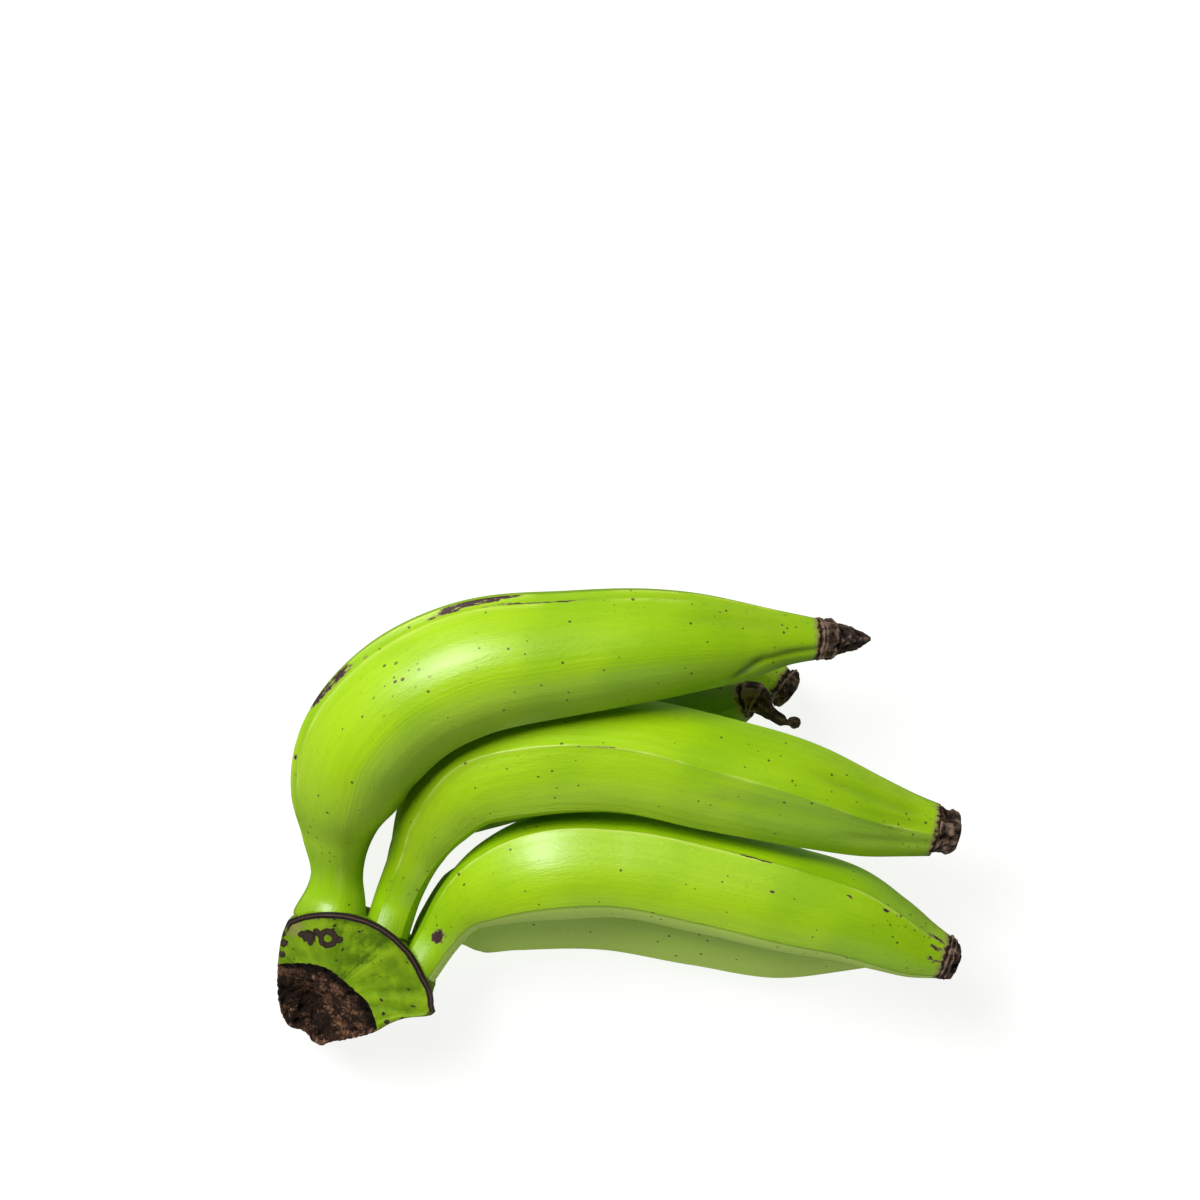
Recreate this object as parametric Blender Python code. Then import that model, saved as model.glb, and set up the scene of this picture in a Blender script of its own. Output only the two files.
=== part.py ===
"""A hand of green plantains: a crown, six fruits in two rows, and the dried flower end on each fruit.

Run it with: blender --background --python part.py. Metres, +Z up.
The hand lies on its back row of fruits and on the underside of its crown. The crown is at the left,
at -X and -Y, and the fruits bend round to +X. The origin is on the surface that the hand lies on,
under the middle of its box. Sizes in this file are millimetres until they reach a mesh.
"""

from dataclasses import dataclass
from math import atan2, cos, hypot, pi, radians, sin

import bpy
from mathutils import Vector

MM = 0.001
UP = Vector((0, 0, 1))
TO_MIDDLE = Vector((0.7, 1.8, 0))  # brings the middle of the hand's box over the origin
JOIN_GAP = 0.4  # between two pieces that grow from each other

# The crown: its front is part of an upright cylinder, which the fruits stand out of.
CROWN_AXIS = (-104.7, -71.0)
CROWN_RADIUS = 36.2
CROWN_FRONT = (2, 117)  # degrees round the axis, from +X
CROWN_MIDDLE = (-107.0, -66.0)
CROWN_BACK = (
    (-122.8, -43.4), (-124.7, -52.0), (-125.6, -62.4), (-125.3, -70.8), (-124.0, -75.6), (-121.5, -79.4),
    (-117.6, -80.4), (-114.8, -82.0), (-112.6, -84.8), (-109.5, -85.8), (-105.8, -84.4), (-100.7, -83.2),
    (-92.9, -81.0), (-88.3, -79.0), (-83.5, -76.2), (-77.9, -74.1), (-72.1, -73.4), (-69.0, -73.0),
    (-67.5, -71.2),
)
CROWN_CUT = (
    (-126.0, -55.4), (-117.0, -54.8), (-110.6, -55.1), (-105.8, -56.6), (-101.3, -60.0), (-96.8, -63.8),
    (-92.2, -67.8), (-89.4, -73.2), (-88.2, -80.0), (-98.0, -87.0), (-109.0, -90.0), (-117.0, -86.0),
    (-126.0, -80.0), (-130.0, -66.0),
)
CUT_LIP = 0.9  # how far inside the crown's outline the cut ends
CROWN_HOLLOW = (-113.0, -68.6)
CROWN_COLUMNS = 56
CROWN_HEIGHT = 52.5  # height of its front rim at +X
CROWN_RISE = 7.0  # how much higher the rim is beside the longest fruit
CUT_EDGE = Vector((-98.6, -61.5, 51.0))  # a point where the slanting cut meets the green band
CUT_FALL = Vector((-0.6, -0.5, 0))  # how the cut falls away to the back of the crown
HOLLOW_DEPTH = 8.0
WRINKLES = 14  # radial folds in the green band of the crown
WRINKLE_HEIGHT = 0.7

# The fruits: five ridges with flattish faces between them, some ridges softer than others.
SIDES_TO_A_FACE = 4
FLATNESS = 0.5
STEPS_TO_A_SPAN = 3
FRONT_ROOT = 45.0  # height of the front row's stalks on the crown
BACK_ROOT = 20.0

# The dried flower ends: a few lobes round each, as the withered petals left them.
FLOWER_SIDES = 12
LOBES = 3
LOBE_DEPTH = 0.08


@dataclass(frozen=True)
class Fruit:
    """One fruit: stations are x, y, z and radius along its middle line, ridges are degrees round it.

    Softness goes with the ridges: 0 keeps the faces beside a ridge flattish, and 1 makes them round.
    """

    name: str
    root_angle: float
    root_height: float
    root_radius: float
    stations: tuple
    ridges: tuple
    softness: tuple
    twist: float
    flower_end: tuple
    droop: tuple = (0, 0, 0)


FRUITS = (
    Fruit(
        name="plantain_front_top",
        root_angle=91.6,
        root_height=FRONT_ROOT - 1,
        root_radius=14.6,
        stations=(
            (-103.8, -29, 46, 11.7), (-103.0, -22, 49, 10.1), (-102, -5, 58, 13.6), (-98.6, 11, 69, 20.7),
            (-90.7, 28.5, 81, 24.4), (-75.5, 43.7, 89, 25.3), (-55, 54, 93.3, 25.3), (-20, 60, 93.4, 23.4),
            (20, 63.6, 89, 19.6), (45, 64, 84, 14.2), (60, 64.6, 81, 9.8), (70, 64.4, 79, 7.8),
        ),
        ridges=(30, 105, 172, 245, 318),
        softness=(0.0, 0.9, 0.3, 0.0, 0.1),
        twist=0,
        flower_end=((0, 7.2), (3, 6.9), (8, 5.4), (13, 4.0), (18, 2.2), (21, 1.0)),
        droop=(0, 0, -0.1),
    ),
    Fruit(
        name="plantain_front_middle",
        root_angle=54,
        root_height=FRONT_ROOT + 3,
        root_radius=8.6,
        stations=(
            (-81.2, -32, 47, 8.5), (-75.1, -17.4, 53, 9.5), (-66.2, 0, 61, 14.8), (-53, 14, 68, 19.4),
            (-32, 21, 72, 21.4), (0, 22, 73, 21.6), (33, 16, 72, 21.6), (67, 8, 70, 19.6),
            (90, 0.8, 67, 15.3), (103, -2.3, 65, 12.2), (113.5, -4.4, 64, 10.0),
        ),
        ridges=(8, 80, 152, 220, 296),
        softness=(0.3, 0.0, 0.3, 0.1, 0.1),
        twist=40,
        flower_end=((0, 8.4), (3, 8.0), (6, 6.8), (9, 4.4)),
    ),
    Fruit(
        name="plantain_front_bottom",
        root_angle=24,
        root_height=FRONT_ROOT,
        root_radius=7.8,
        stations=(
            (-66, -45, 45, 8.6), (-58, -34, 49, 11.0), (-46, -26, 54, 15.6), (-29, -20, 58, 19.0),
            (1, -18, 59, 20.2), (33, -24, 58, 20.2), (62, -31, 57, 19.8), (83, -36.5, 56, 18.0),
            (97, -43, 55, 14.9), (107.5, -48.2, 54, 12.0), (117.6, -51.8, 54, 8.4),
        ),
        ridges=(-16, 50, 134, 202, 272),
        softness=(0.2, 0.0, 0.5, 0.1, 0.1),
        twist=14,
        flower_end=((0, 7.4), (2.5, 7.0), (4.4, 5.4), (5.6, 2.8)),
    ),
    Fruit(
        name="plantain_back_bottom",
        root_angle=22,
        root_height=BACK_ROOT,
        root_radius=7.6,
        stations=(
            (-66.5, -43.5, 18, 9.8), (-58.3, -38, 16.8, 16.4), (-42, -33.4, 17.4, 19.2), (-7, -33, 16.8, 19.0),
            (30, -39, 16.6, 18.8), (60, -45, 15.8, 17.6), (82, -48, 16, 12.2), (97, -49, 18, 8.4),
            (106, -49, 19, 6.2),
        ),
        ridges=(24, 98, 166, 238, 310),
        softness=(0.2, 0.2, 0.0, 0.2, 0.2),
        twist=10,
        flower_end=((0, 6.0), (3, 6.2), (6, 5.0), (8, 2.4)),
    ),
    Fruit(
        name="plantain_back_middle",
        root_angle=54,
        root_height=BACK_ROOT,
        root_radius=7.6,
        stations=(
            (-80.5, -29, 19, 8.2), (-75, -14, 17, 11.0), (-64, 3, 15.6, 15.4), (-46, 12, 16.2, 18.0),
            (-20, 18, 16.8, 18.8), (8, 26, 17.2, 18.0), (26, 34, 23, 14.8), (39, 39, 31, 11.2),
            (47, 41.4, 35, 6.8),
        ),
        ridges=(30, 100, 170, 244, 316),
        softness=(0.2, 0.2, 0.2, 0.2, 0.2),
        twist=0,
        flower_end=((0, 6.4), (2.5, 6.2), (5, 3.8), (9, 2.7), (13, 2.4), (16, 1.7), (19, 2.6), (21.5, 1.4)),
        droop=(0.05, -0.42, -0.12),
    ),
    Fruit(
        name="plantain_back_top",
        root_angle=92,
        root_height=BACK_ROOT,
        root_radius=9.0,
        stations=(
            (-105, -23, 19, 8.6), (-103, -8, 17, 12.0), (-100, 9, 16, 17.0), (-91, 28, 17, 19.2),
            (-72, 46, 17.8, 20.0), (-40, 59, 17.8, 20.0), (-5, 64, 16.8, 18.8), (24, 63, 16, 15.6),
            (44, 57, 18, 11.2), (54, 51, 19, 8.4), (60, 46.5, 20, 6.8),
        ),
        ridges=(20, 92, 164, 236, 308),
        softness=(0.2, 0.2, 0.2, 0.2, 0.2),
        twist=0,
        flower_end=((0, 6.6), (2, 6.8), (4, 5.8), (5.5, 2.8)),
    ),
)


@dataclass(frozen=True)
class Finish:
    """The plain colour, roughness and metallic value of one material."""

    name: str
    colour: tuple
    roughness: float
    metallic: float = 0.0


GREEN_SKIN = Finish("green skin", (0.24, 0.47, 0.02), 0.42)
CROWN_SKIN = Finish("crown skin", (0.14, 0.22, 0.02), 0.6)
DRIED_FLOWER = Finish("dried flower", (0.06, 0.035, 0.02), 0.85)


def clear_scene():
    for thing in list(bpy.data.objects):
        bpy.data.objects.remove(thing)


def material_of(finish):
    material = bpy.data.materials.get(finish.name)
    if material is None:
        material = bpy.data.materials.new(finish.name)
        material.use_nodes = True
        shader = material.node_tree.nodes["Principled BSDF"]
        shader.inputs["Base Color"].default_value = (*finish.colour, 1)
        shader.inputs["Roughness"].default_value = finish.roughness
        shader.inputs["Metallic"].default_value = finish.metallic
    return material


def add_loft(name, rings, start, end, finish, collection):
    """Makes a closed body from rings with as many points each, with a point to close each end."""
    count = len(rings[0])
    points = [point for ring in rings for point in ring] + [start, end]
    first, last = len(points) - 2, (len(rings) - 1) * count
    faces = []
    for i in range(count):
        j = (i + 1) % count
        faces.append((first, j, i))
        faces.append((last + i, last + j, len(points) - 1))
        for low in range(0, last, count):
            faces.append((low + i, low + j, low + count + j, low + count + i))
    mesh = bpy.data.meshes.new(name)
    mesh.from_pydata([(Vector(point) + TO_MIDDLE) * MM for point in points], [], faces)
    mesh.materials.append(material_of(finish))
    mesh.shade_smooth()
    mesh.set_sharp_from_angle(angle=radians(50))
    body = bpy.data.objects.new(name, mesh)
    collection.objects.link(body)
    return body


def smooth_line(stations, steps, closed=False):
    """Points and slopes on a smooth line through the stations, with so many steps to a span."""
    points = [Vector(station) for station in stations]
    if closed:
        points = [points[-1], *points, points[0], points[1]]
    spans = [(b - a).length for a, b in zip(points, points[1:])]
    rates = [(b - a) / span for a, b, span in zip(points, points[1:], spans)]
    slopes = [rates[0]]
    for i in range(1, len(rates)):
        weight = spans[i - 1] + spans[i]
        slopes.append((rates[i - 1] * spans[i] + rates[i] * spans[i - 1]) / weight)
    slopes.append(rates[-1])
    line = []
    begin, finish = (1, len(spans) - 1) if closed else (0, len(spans))
    for i in range(begin, finish):
        for step in range(steps):
            t = step / steps
            place = (
                points[i] * (1 + 2 * t) * (1 - t) ** 2
                + slopes[i] * spans[i] * t * (1 - t) ** 2
                + points[i + 1] * t * t * (3 - 2 * t)
                + slopes[i + 1] * spans[i] * t * t * (t - 1)
            )
            line.append((place, slopes[i].lerp(slopes[i + 1], t)))
    if not closed:
        line.append((points[-1], slopes[-1]))
    return line


def ridged_section(fruit, turn):
    """Angle and share of the radius for each point of a section: flattish faces between ridges."""
    section = []
    ends = (*fruit.ridges[1:], fruit.ridges[0] + 360)
    softness = (*fruit.softness, fruit.softness[0])
    for begin, end, soft, next_soft in zip(fruit.ridges, ends, softness, softness[1:]):
        face = radians(end - begin)
        for i in range(SIDES_TO_A_FACE):
            along = i / SIDES_TO_A_FACE
            chord = cos(face / 2) / cos((along - 0.5) * face)
            flatness = FLATNESS * (1 - soft - (next_soft - soft) * along)
            section.append((radians(begin + turn) + along * face, 1 - flatness * (1 - chord)))
    return section


def section_ring(centre, slope, radius, section):
    """Points of a section set square to the slope, with angle 0 on the outer side of the bend."""
    side = UP.cross(slope).normalized()
    top = slope.cross(side).normalized()
    return [centre + (side * cos(a) + top * sin(a)) * radius * share for a, share in section]


def crown_front(angle, height, clearance=0.0):
    reach = CROWN_RADIUS + clearance
    x, y = CROWN_AXIS
    return Vector((x + reach * cos(radians(angle)), y + reach * sin(radians(angle)), height))


def onto_crown_front(point):
    """The point moved straight to or from the crown's axis, to stand clear of its front by the gap."""
    x, y = CROWN_AXIS
    angle = atan2(point.y - y, point.x - x) * 180 / pi
    return crown_front(angle, point.z, JOIN_GAP)


def outside_crown(point):
    """The point itself, or the nearest place clear of the crown's front if it is inside that."""
    x, y = CROWN_AXIS
    inside = hypot(point.x - x, point.y - y) < CROWN_RADIUS + JOIN_GAP
    return onto_crown_front(point) if inside else point


def above_surface(ring):
    return [Vector((point.x, point.y, max(point.z, 0))) for point in ring]


def add_fruit(fruit, collection):
    """Lofts a fruit from the crown to its tip, and returns its tip and the way the tip points."""
    root = crown_front(fruit.root_angle, fruit.root_height, JOIN_GAP)
    line = smooth_line(((*root, fruit.root_radius), *fruit.stations), STEPS_TO_A_SPAN)
    rings = []
    for i, (place, slope) in enumerate(line):
        turn = fruit.twist * (i / (len(line) - 1) - 0.5)
        section = ridged_section(fruit, turn)
        rings.append(above_surface(section_ring(place.xyz, slope.xyz, place.w, section)))
    inner = [root.lerp(point, 0.5) for point in rings[0]]
    rings = [[outside_crown(point) for point in ring] for ring in rings]
    rings[0] = [onto_crown_front(point) for point in rings[0]]
    rings.insert(0, [onto_crown_front(point) for point in inner])
    tip = line[-1][0].xyz
    add_loft(fruit.name, rings, root, tip, GREEN_SKIN, collection)
    return tip, line[-1][1].xyz.normalized()


def add_flower_end(fruit, tip, way, collection):
    """Lofts the dried remains of the flower: lobed rings that go on from the tip and droop."""
    name = fruit.name.replace("plantain", "flower_end")
    start = tip + way * JOIN_GAP
    centre = start
    before = 0
    rings = []
    for distance, radius in fruit.flower_end:
        centre = centre + way * (distance - before)
        angles = [2 * pi * i / FLOWER_SIDES for i in range(FLOWER_SIDES)]
        lobed = [(angle, 1 + LOBE_DEPTH * cos(LOBES * angle + distance)) for angle in angles]
        rings.append(section_ring(centre, way, radius, lobed))
        before = distance
        way = (way + Vector(fruit.droop) * 0.5).normalized()
    add_loft(name, rings, start, centre + way * 0.5, DRIED_FLOWER, collection)


def reach_at(outline, angle):
    """How far an outline lies from the crown's middle at this angle."""
    x, y = CROWN_MIDDLE
    way = Vector((cos(angle), sin(angle)))
    farthest = 0.0
    for a, b in zip(outline, (*outline[1:], outline[0])):
        start = Vector((a[0] - x, a[1] - y))
        edge = Vector((b[0] - a[0], b[1] - a[1]))
        across = way.x * edge.y - way.y * edge.x
        if abs(across) < 1e-9:
            continue
        share = (start.x * way.y - start.y * way.x) / across
        if -1e-9 <= share <= 1 + 1e-9:
            farthest = max(farthest, (start.x * edge.y - start.y * edge.x) / across)
    return farthest


def cut_height(place):
    """Height of the slanting cut at this place."""
    return CUT_EDGE.z - CUT_FALL.dot(place - CUT_EDGE)


def crown_outline():
    begin, end = CROWN_FRONT
    front = [tuple(crown_front(angle, 0).xy) for angle in range(begin, end + 1)]
    back = [tuple(place) for place, _ in smooth_line((front[-1], *CROWN_BACK, front[0]), 4)]
    return front + back[1:-1]


def add_crown(collection):
    """Lofts the crown from its flat underside, up its front, over the folded band and into the cut."""
    outline = crown_outline()
    cut = [tuple(place) for place, _ in smooth_line(CROWN_CUT, 4, closed=True)]
    x, y = CROWN_MIDDLE
    angles = [2 * pi * i / CROWN_COLUMNS for i in range(CROWN_COLUMNS)]
    edges = [reach_at(outline, angle) for angle in angles]
    cuts = [min(reach_at(cut, angle), edge - CUT_LIP) for angle, edge in zip(angles, edges)]

    def wall_ring(share, height):
        reaches = [edge * share for edge in edges]
        return [Vector((x + r * cos(a), y + r * sin(a), height)) for a, r in zip(angles, reaches)]

    def top_ring(share, lift=0.0):
        """A ring on the top of the crown: share 0 is the rim, and share 1 the edge of the cut."""
        ring = []
        for angle, edge, cut_reach in zip(angles, edges, cuts):
            reach = edge - (edge - cut_reach) * share
            place = Vector((x + reach * cos(angle), y + reach * sin(angle), 0))
            fold = WRINKLE_HEIGHT * sin(WRINKLES * angle) * sin(pi * share)
            rim = CROWN_HEIGHT + CROWN_RISE * sin(angle)
            band = rim + (CUT_EDGE.z - rim) * share**1.5 + fold
            place.z = min(band, cut_height(place)) + lift
            ring.append(place)
        return ring

    hollow = Vector((*CROWN_HOLLOW, 0))
    hollow.z = cut_height(hollow) - HOLLOW_DEPTH
    cut_edge = top_ring(1)
    rings = [
        wall_ring(0.74, 0),
        wall_ring(0.92, 2.5),
        wall_ring(1, 8),
        wall_ring(1, 20),
        top_ring(0, -1.5),
        top_ring(0.03),
        top_ring(0.12, -0.6),
        top_ring(0.4, -0.6),
        top_ring(0.7, -0.3),
        cut_edge,
        [hollow.lerp(point, 0.9) + UP * 1.0 for point in cut_edge],
        [hollow.lerp(point, 0.5) + UP * 2.0 for point in cut_edge],
        [hollow.lerp(point, 0.2) for point in cut_edge],
    ]
    add_loft("crown", rings, Vector((x, y, 0)), hollow, CROWN_SKIN, collection)


def main():
    clear_scene()
    collection = bpy.data.collections.new("bunch_of_plantains")
    bpy.context.scene.collection.children.link(collection)
    add_crown(collection)
    for fruit in FRUITS:
        tip, way = add_fruit(fruit, collection)
        add_flower_end(fruit, tip, way, collection)


if __name__ == "__main__":
    main()
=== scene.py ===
"""Dresses a hand of green plantains: ridged waxy fruits, dried flower ends and a crown cut from its stalk.

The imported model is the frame. Each fruit is drawn out of a straight blank, ridged, marked and then bent
along the same middle line as its solid. Sizes here are millimetres until they reach a mesh.
"""

import logging
from collections.abc import Sequence
from dataclasses import dataclass
from enum import Enum
from math import cos, pi, radians, sin

import bpy
import numpy as np
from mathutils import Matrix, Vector, noise


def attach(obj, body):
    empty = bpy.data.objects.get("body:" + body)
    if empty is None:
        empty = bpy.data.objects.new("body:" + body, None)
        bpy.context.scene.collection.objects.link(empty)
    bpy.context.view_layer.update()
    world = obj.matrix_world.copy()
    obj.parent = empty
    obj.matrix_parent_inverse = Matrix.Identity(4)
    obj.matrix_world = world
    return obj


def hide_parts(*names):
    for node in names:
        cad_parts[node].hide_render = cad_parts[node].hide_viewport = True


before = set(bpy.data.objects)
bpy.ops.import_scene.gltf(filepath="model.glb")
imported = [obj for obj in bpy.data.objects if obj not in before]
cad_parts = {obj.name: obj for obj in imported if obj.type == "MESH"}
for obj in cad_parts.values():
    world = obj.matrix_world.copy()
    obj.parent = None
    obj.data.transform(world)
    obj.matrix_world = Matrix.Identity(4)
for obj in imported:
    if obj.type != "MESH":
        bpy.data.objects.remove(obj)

LOG = logging.getLogger("plantains")
MM = 0.001
BODY = "root"
UP = np.array((0.0, 0.0, 1.0))
SEED_STEP = (17.3, 5.1, 9.7)  # how far noise is shifted for each 1 of its seed

Array = np.ndarray
Colour = tuple[float, float, float]
Station = tuple[float, float, float, float]

# The crown's front is part of an upright cylinder, which the fruits stand out of.
CROWN_AXIS = (-104.7, -71.0)
CROWN_RADIUS = 36.2
CROWN_MIDDLE = (-107.0, -66.0)
CROWN_HEIGHT = 52.5
CROWN_RISE = 7.0
CUT_EDGE = (-98.6, -61.5, 51.0)  # a point where the slanting cut meets the green band
CUT_FALL = (-0.6, -0.5)  # how the cut falls away to the back of the crown
TO_MIDDLE = (0.7, 1.8, 0.0)  # brings the middle of the hand's box over the origin
ROOT_DEPTH = 2.5  # how far a fruit's stalk runs into the crown, so that no gap shows
ROOT_COVER = 1.6  # how far the crown covers it there


class Element(Enum):
    """The kinds of mesh element that an edit mode operator works on."""

    VERTEX = (True, False, False)
    EDGE = (False, True, False)
    FACE = (False, False, True)


def start_fresh() -> None:
    """Leaves nothing selected, so that an operator acts only on what is added next."""
    bpy.ops.object.select_all(action="DESELECT")
    bpy.context.view_layer.objects.active = None


def points_of(piece: bpy.types.Object) -> Array:
    """Reads where the piece's vertices are.

    Args:
        piece: the mesh object.

    Returns:
        One row of x, y and z for each vertex, in metres.
    """
    flat = np.empty(len(piece.data.vertices) * 3)
    piece.data.vertices.foreach_get("co", flat)
    return flat.reshape(-1, 3)


def move_points(piece: bpy.types.Object, places: Array) -> None:
    """Puts the piece's vertices at these places, in millimetres as drawn."""
    piece.data.vertices.foreach_set("co", ((places + TO_MIDDLE) * MM).ravel())
    piece.data.update()


def store(piece: bpy.types.Object, **masks: Array) -> None:
    """Keeps numbers or vectors for each vertex, under names that a material can read.

    Args:
        piece: the mesh object.
        **masks: the values by name, with one number or one row for each vertex.
    """
    for name, values in masks.items():
        kind, slot = ("FLOAT", "value") if values.ndim == 1 else ("FLOAT_VECTOR", "vector")
        attribute = piece.data.attributes.new(name, kind, "POINT")
        attribute.data.foreach_set(slot, values.astype(np.float32).ravel())


def choose(piece: bpy.types.Object, element: Element, chosen: Array) -> None:
    """Selects only the chosen elements and goes into edit mode.

    Args:
        piece: the mesh object, which is made the active one.
        element: the kind of element that chosen counts.
        chosen: one true or false value for each such element.
    """
    bpy.context.view_layer.objects.active = piece
    bpy.context.tool_settings.mesh_select_mode = element.value
    mesh = piece.data
    layers = {Element.VERTEX: mesh.vertices, Element.EDGE: mesh.edges, Element.FACE: mesh.polygons}
    for kind, elements in layers.items():
        flags = chosen if kind is element else np.zeros(len(elements), bool)
        elements.foreach_set("select", flags)
    bpy.ops.object.mode_set(mode="EDIT")


def leave_edit_mode() -> None:
    """Goes back to object mode, so that the mesh can be read."""
    bpy.ops.object.mode_set(mode="OBJECT")


def refine(piece: bpy.types.Object, levels: int) -> None:
    """Splits each face of the piece into four without smoothing it.

    Args:
        piece: the mesh object.
        levels: how many times each face is split.
    """
    modifier = piece.modifiers.new("Refine", "SUBSURF")
    modifier.subdivision_type = "SIMPLE"
    modifier.levels = modifier.render_levels = levels
    bpy.context.view_layer.objects.active = piece
    bpy.ops.object.modifier_apply(modifier=modifier.name)


def drum(name: str, sides: int, rings: int, end_rings: int, levels: int) -> bpy.types.Object:
    """Models the even blank of a piece: a cylinder of radius 1 along X from 0 to 1.

    Args:
        name: the piece's name.
        sides: how many sides the cylinder has.
        rings: how many rings its length is cut into.
        end_rings: how many insets each end has.
        levels: how many times each face is then split.

    Returns:
        The blank.
    """
    start_fresh()
    bpy.ops.mesh.primitive_cylinder_add(
        vertices=sides,
        radius=1,
        depth=1,
        end_fill_type="NGON",
        location=(0.5, 0, 0),
        rotation=(0, pi / 2, 0),
    )
    bpy.ops.object.transform_apply(location=True, rotation=True, scale=True)
    piece = bpy.context.active_object
    piece.name = piece.data.name = name
    along = points_of(piece)[:, 0]
    lengthwise = np.array([abs(np.diff(along[list(edge.vertices)])[0]) > 0.5 for edge in piece.data.edges])
    choose(piece, Element.EDGE, lengthwise)
    bpy.ops.mesh.subdivide(number_cuts=rings - 1)
    leave_edit_mode()
    ends = np.array([abs(face.normal.x) > 0.9 for face in piece.data.polygons])
    choose(piece, Element.FACE, ends)
    for _ in range(end_rings):
        bpy.ops.mesh.inset(thickness=1 / (end_rings + 1), use_individual=True)
    leave_edit_mode()
    refine(piece, levels)
    return piece


def polar(blank: Array) -> tuple[Array, Array, Array]:
    """Reads the points of a blank as places round its axis.

    Args:
        blank: one row of x, y and z for each point.

    Returns:
        How far each lies along X, its angle round X in radians and its distance from it.
    """
    along, y, z = blank.T
    return along, np.arctan2(z, y), np.hypot(y, z)


def noise_at(places: Array, size: float, seed: float = 0.0) -> Array:
    """Smooth noise between about -1 and 1 at these places, with features of this size in the same units."""
    shift = Vector([seed * step for step in SEED_STEP])
    return np.array([noise.noise(Vector(place) / size + shift) for place in places])


def ease(value: Array, low: float, high: float) -> Array:
    """0 below low, 1 above high and a smooth step between them; high may be the lower one."""
    share = np.clip((value - low) / (high - low), 0, 1)
    return share * share * (3 - 2 * share)


def bell(distance: Array, width: float) -> Array:
    """1 at no distance, falling smoothly to nothing a few widths away."""
    return np.exp(-((distance / width) ** 2))


def rim_height(x: Array, y: Array) -> Array:
    """Height of the crown's rim in the direction of each of these places."""
    return CROWN_HEIGHT + CROWN_RISE * np.sin(np.arctan2(y - CROWN_MIDDLE[1], x - CROWN_MIDDLE[0]))


def cut_height(x: Array, y: Array) -> Array:
    """Height of the plane that the crown was cut along."""
    return CUT_EDGE[2] - (x - CUT_EDGE[0]) * CUT_FALL[0] - (y - CUT_EDGE[1]) * CUT_FALL[1]


class MiddleLine:
    """A smooth line through stations of x, y, z and radius, read by its share of the length."""

    STEPS = 24

    def __init__(self, stations: Sequence[Station]) -> None:
        """Fits the line.

        Args:
            stations: the places and radii that it runs through, from the root to the tip.
        """
        points = np.array(stations, float)
        spans = np.linalg.norm(np.diff(points, axis=0), axis=1)
        rates = np.diff(points, axis=0) / spans[:, None]
        before, after = spans[:-1, None], spans[1:, None]
        inner = (rates[:-1] * after + rates[1:] * before) / (before + after)
        slopes = np.vstack((rates[:1], inner, rates[-1:]))
        t = np.linspace(0, 1, self.STEPS, endpoint=False)[:, None]
        runs = [
            points[i] * (1 + 2 * t) * (1 - t) ** 2
            + slopes[i] * spans[i] * t * (1 - t) ** 2
            + points[i + 1] * t * t * (3 - 2 * t)
            + slopes[i + 1] * spans[i] * t * t * (t - 1)
            for i in range(len(spans))
        ]
        self.samples = np.vstack((*runs, points[-1:]))
        steps = np.linalg.norm(np.diff(self.samples[:, :3], axis=0), axis=1)
        lengths = np.concatenate(((0.0,), np.cumsum(steps)))
        self.length = float(lengths[-1])
        self.shares = lengths / self.length
        ways = np.gradient(self.samples[:, :3], self.shares, axis=0)
        self.ways = ways / np.linalg.norm(ways, axis=1)[:, None]

    def read(self, table: Array, share: Array) -> Array:
        """The columns of a table of the line's samples at these shares of its length."""
        return np.stack([np.interp(share, self.shares, column) for column in table.T], axis=1)

    def radius(self, share: Array) -> Array:
        """The radius at these shares."""
        return np.interp(share, self.shares, self.samples[:, 3])

    def wrap(self, share: Array, angle: Array, reach: Array) -> Array:
        """Places round the line.

        Args:
            share: how far along the line each place is, from 0 to 1.
            angle: radians round the line, from the outer side of its bend over the top.
            reach: the distance from the line.

        Returns:
            One row of x, y and z for each place.
        """
        middle = self.read(self.samples[:, :3], share)
        way = self.read(self.ways, share)
        way /= np.linalg.norm(way, axis=1)[:, None]
        side = np.cross(UP, way)
        side /= np.linalg.norm(side, axis=1)[:, None]
        top = np.cross(way, side)
        return middle + (side * np.cos(angle)[:, None] + top * np.sin(angle)[:, None]) * reach[:, None]


Operand = "Wire | float"  # either kind of number that the shader expressions take


@dataclass(frozen=True)
class Wire:
    """A socket of numbers that can stand in a Python expression."""

    tree: bpy.types.NodeTree
    socket: bpy.types.NodeSocket

    def sum_of(self, operation: str, first: Operand, second: Operand) -> "Wire":
        """Adds one Math node.

        Args:
            operation: what the node works out.
            first: its first number, as a wire or a plain one.
            second: its second number.

        Returns:
            The result.
        """
        node = self.tree.nodes.new("ShaderNodeMath")
        node.operation = operation
        for place, operand in enumerate((first, second)):
            if isinstance(operand, Wire):
                self.tree.links.new(operand.socket, node.inputs[place])
            else:
                node.inputs[place].default_value = operand
        return Wire(self.tree, node.outputs[0])

    def __add__(self, other: Operand) -> "Wire":
        """The wire plus another number."""
        return self.sum_of("ADD", self, other)

    def __radd__(self, other: float) -> "Wire":
        """A plain number plus the wire."""
        return self.sum_of("ADD", other, self)

    def __sub__(self, other: Operand) -> "Wire":
        """The wire less another number."""
        return self.sum_of("SUBTRACT", self, other)

    def __rsub__(self, other: float) -> "Wire":
        """A plain number less the wire."""
        return self.sum_of("SUBTRACT", other, self)

    def __mul__(self, other: Operand) -> "Wire":
        """The wire times another number."""
        return self.sum_of("MULTIPLY", self, other)

    def __rmul__(self, other: float) -> "Wire":
        """A plain number times the wire."""
        return self.sum_of("MULTIPLY", other, self)

    def at_most(self, other: Operand) -> "Wire":
        """The smaller of the two."""
        return self.sum_of("MINIMUM", self, other)

    def at_least(self, other: Operand) -> "Wire":
        """The larger of the two."""
        return self.sum_of("MAXIMUM", self, other)


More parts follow.
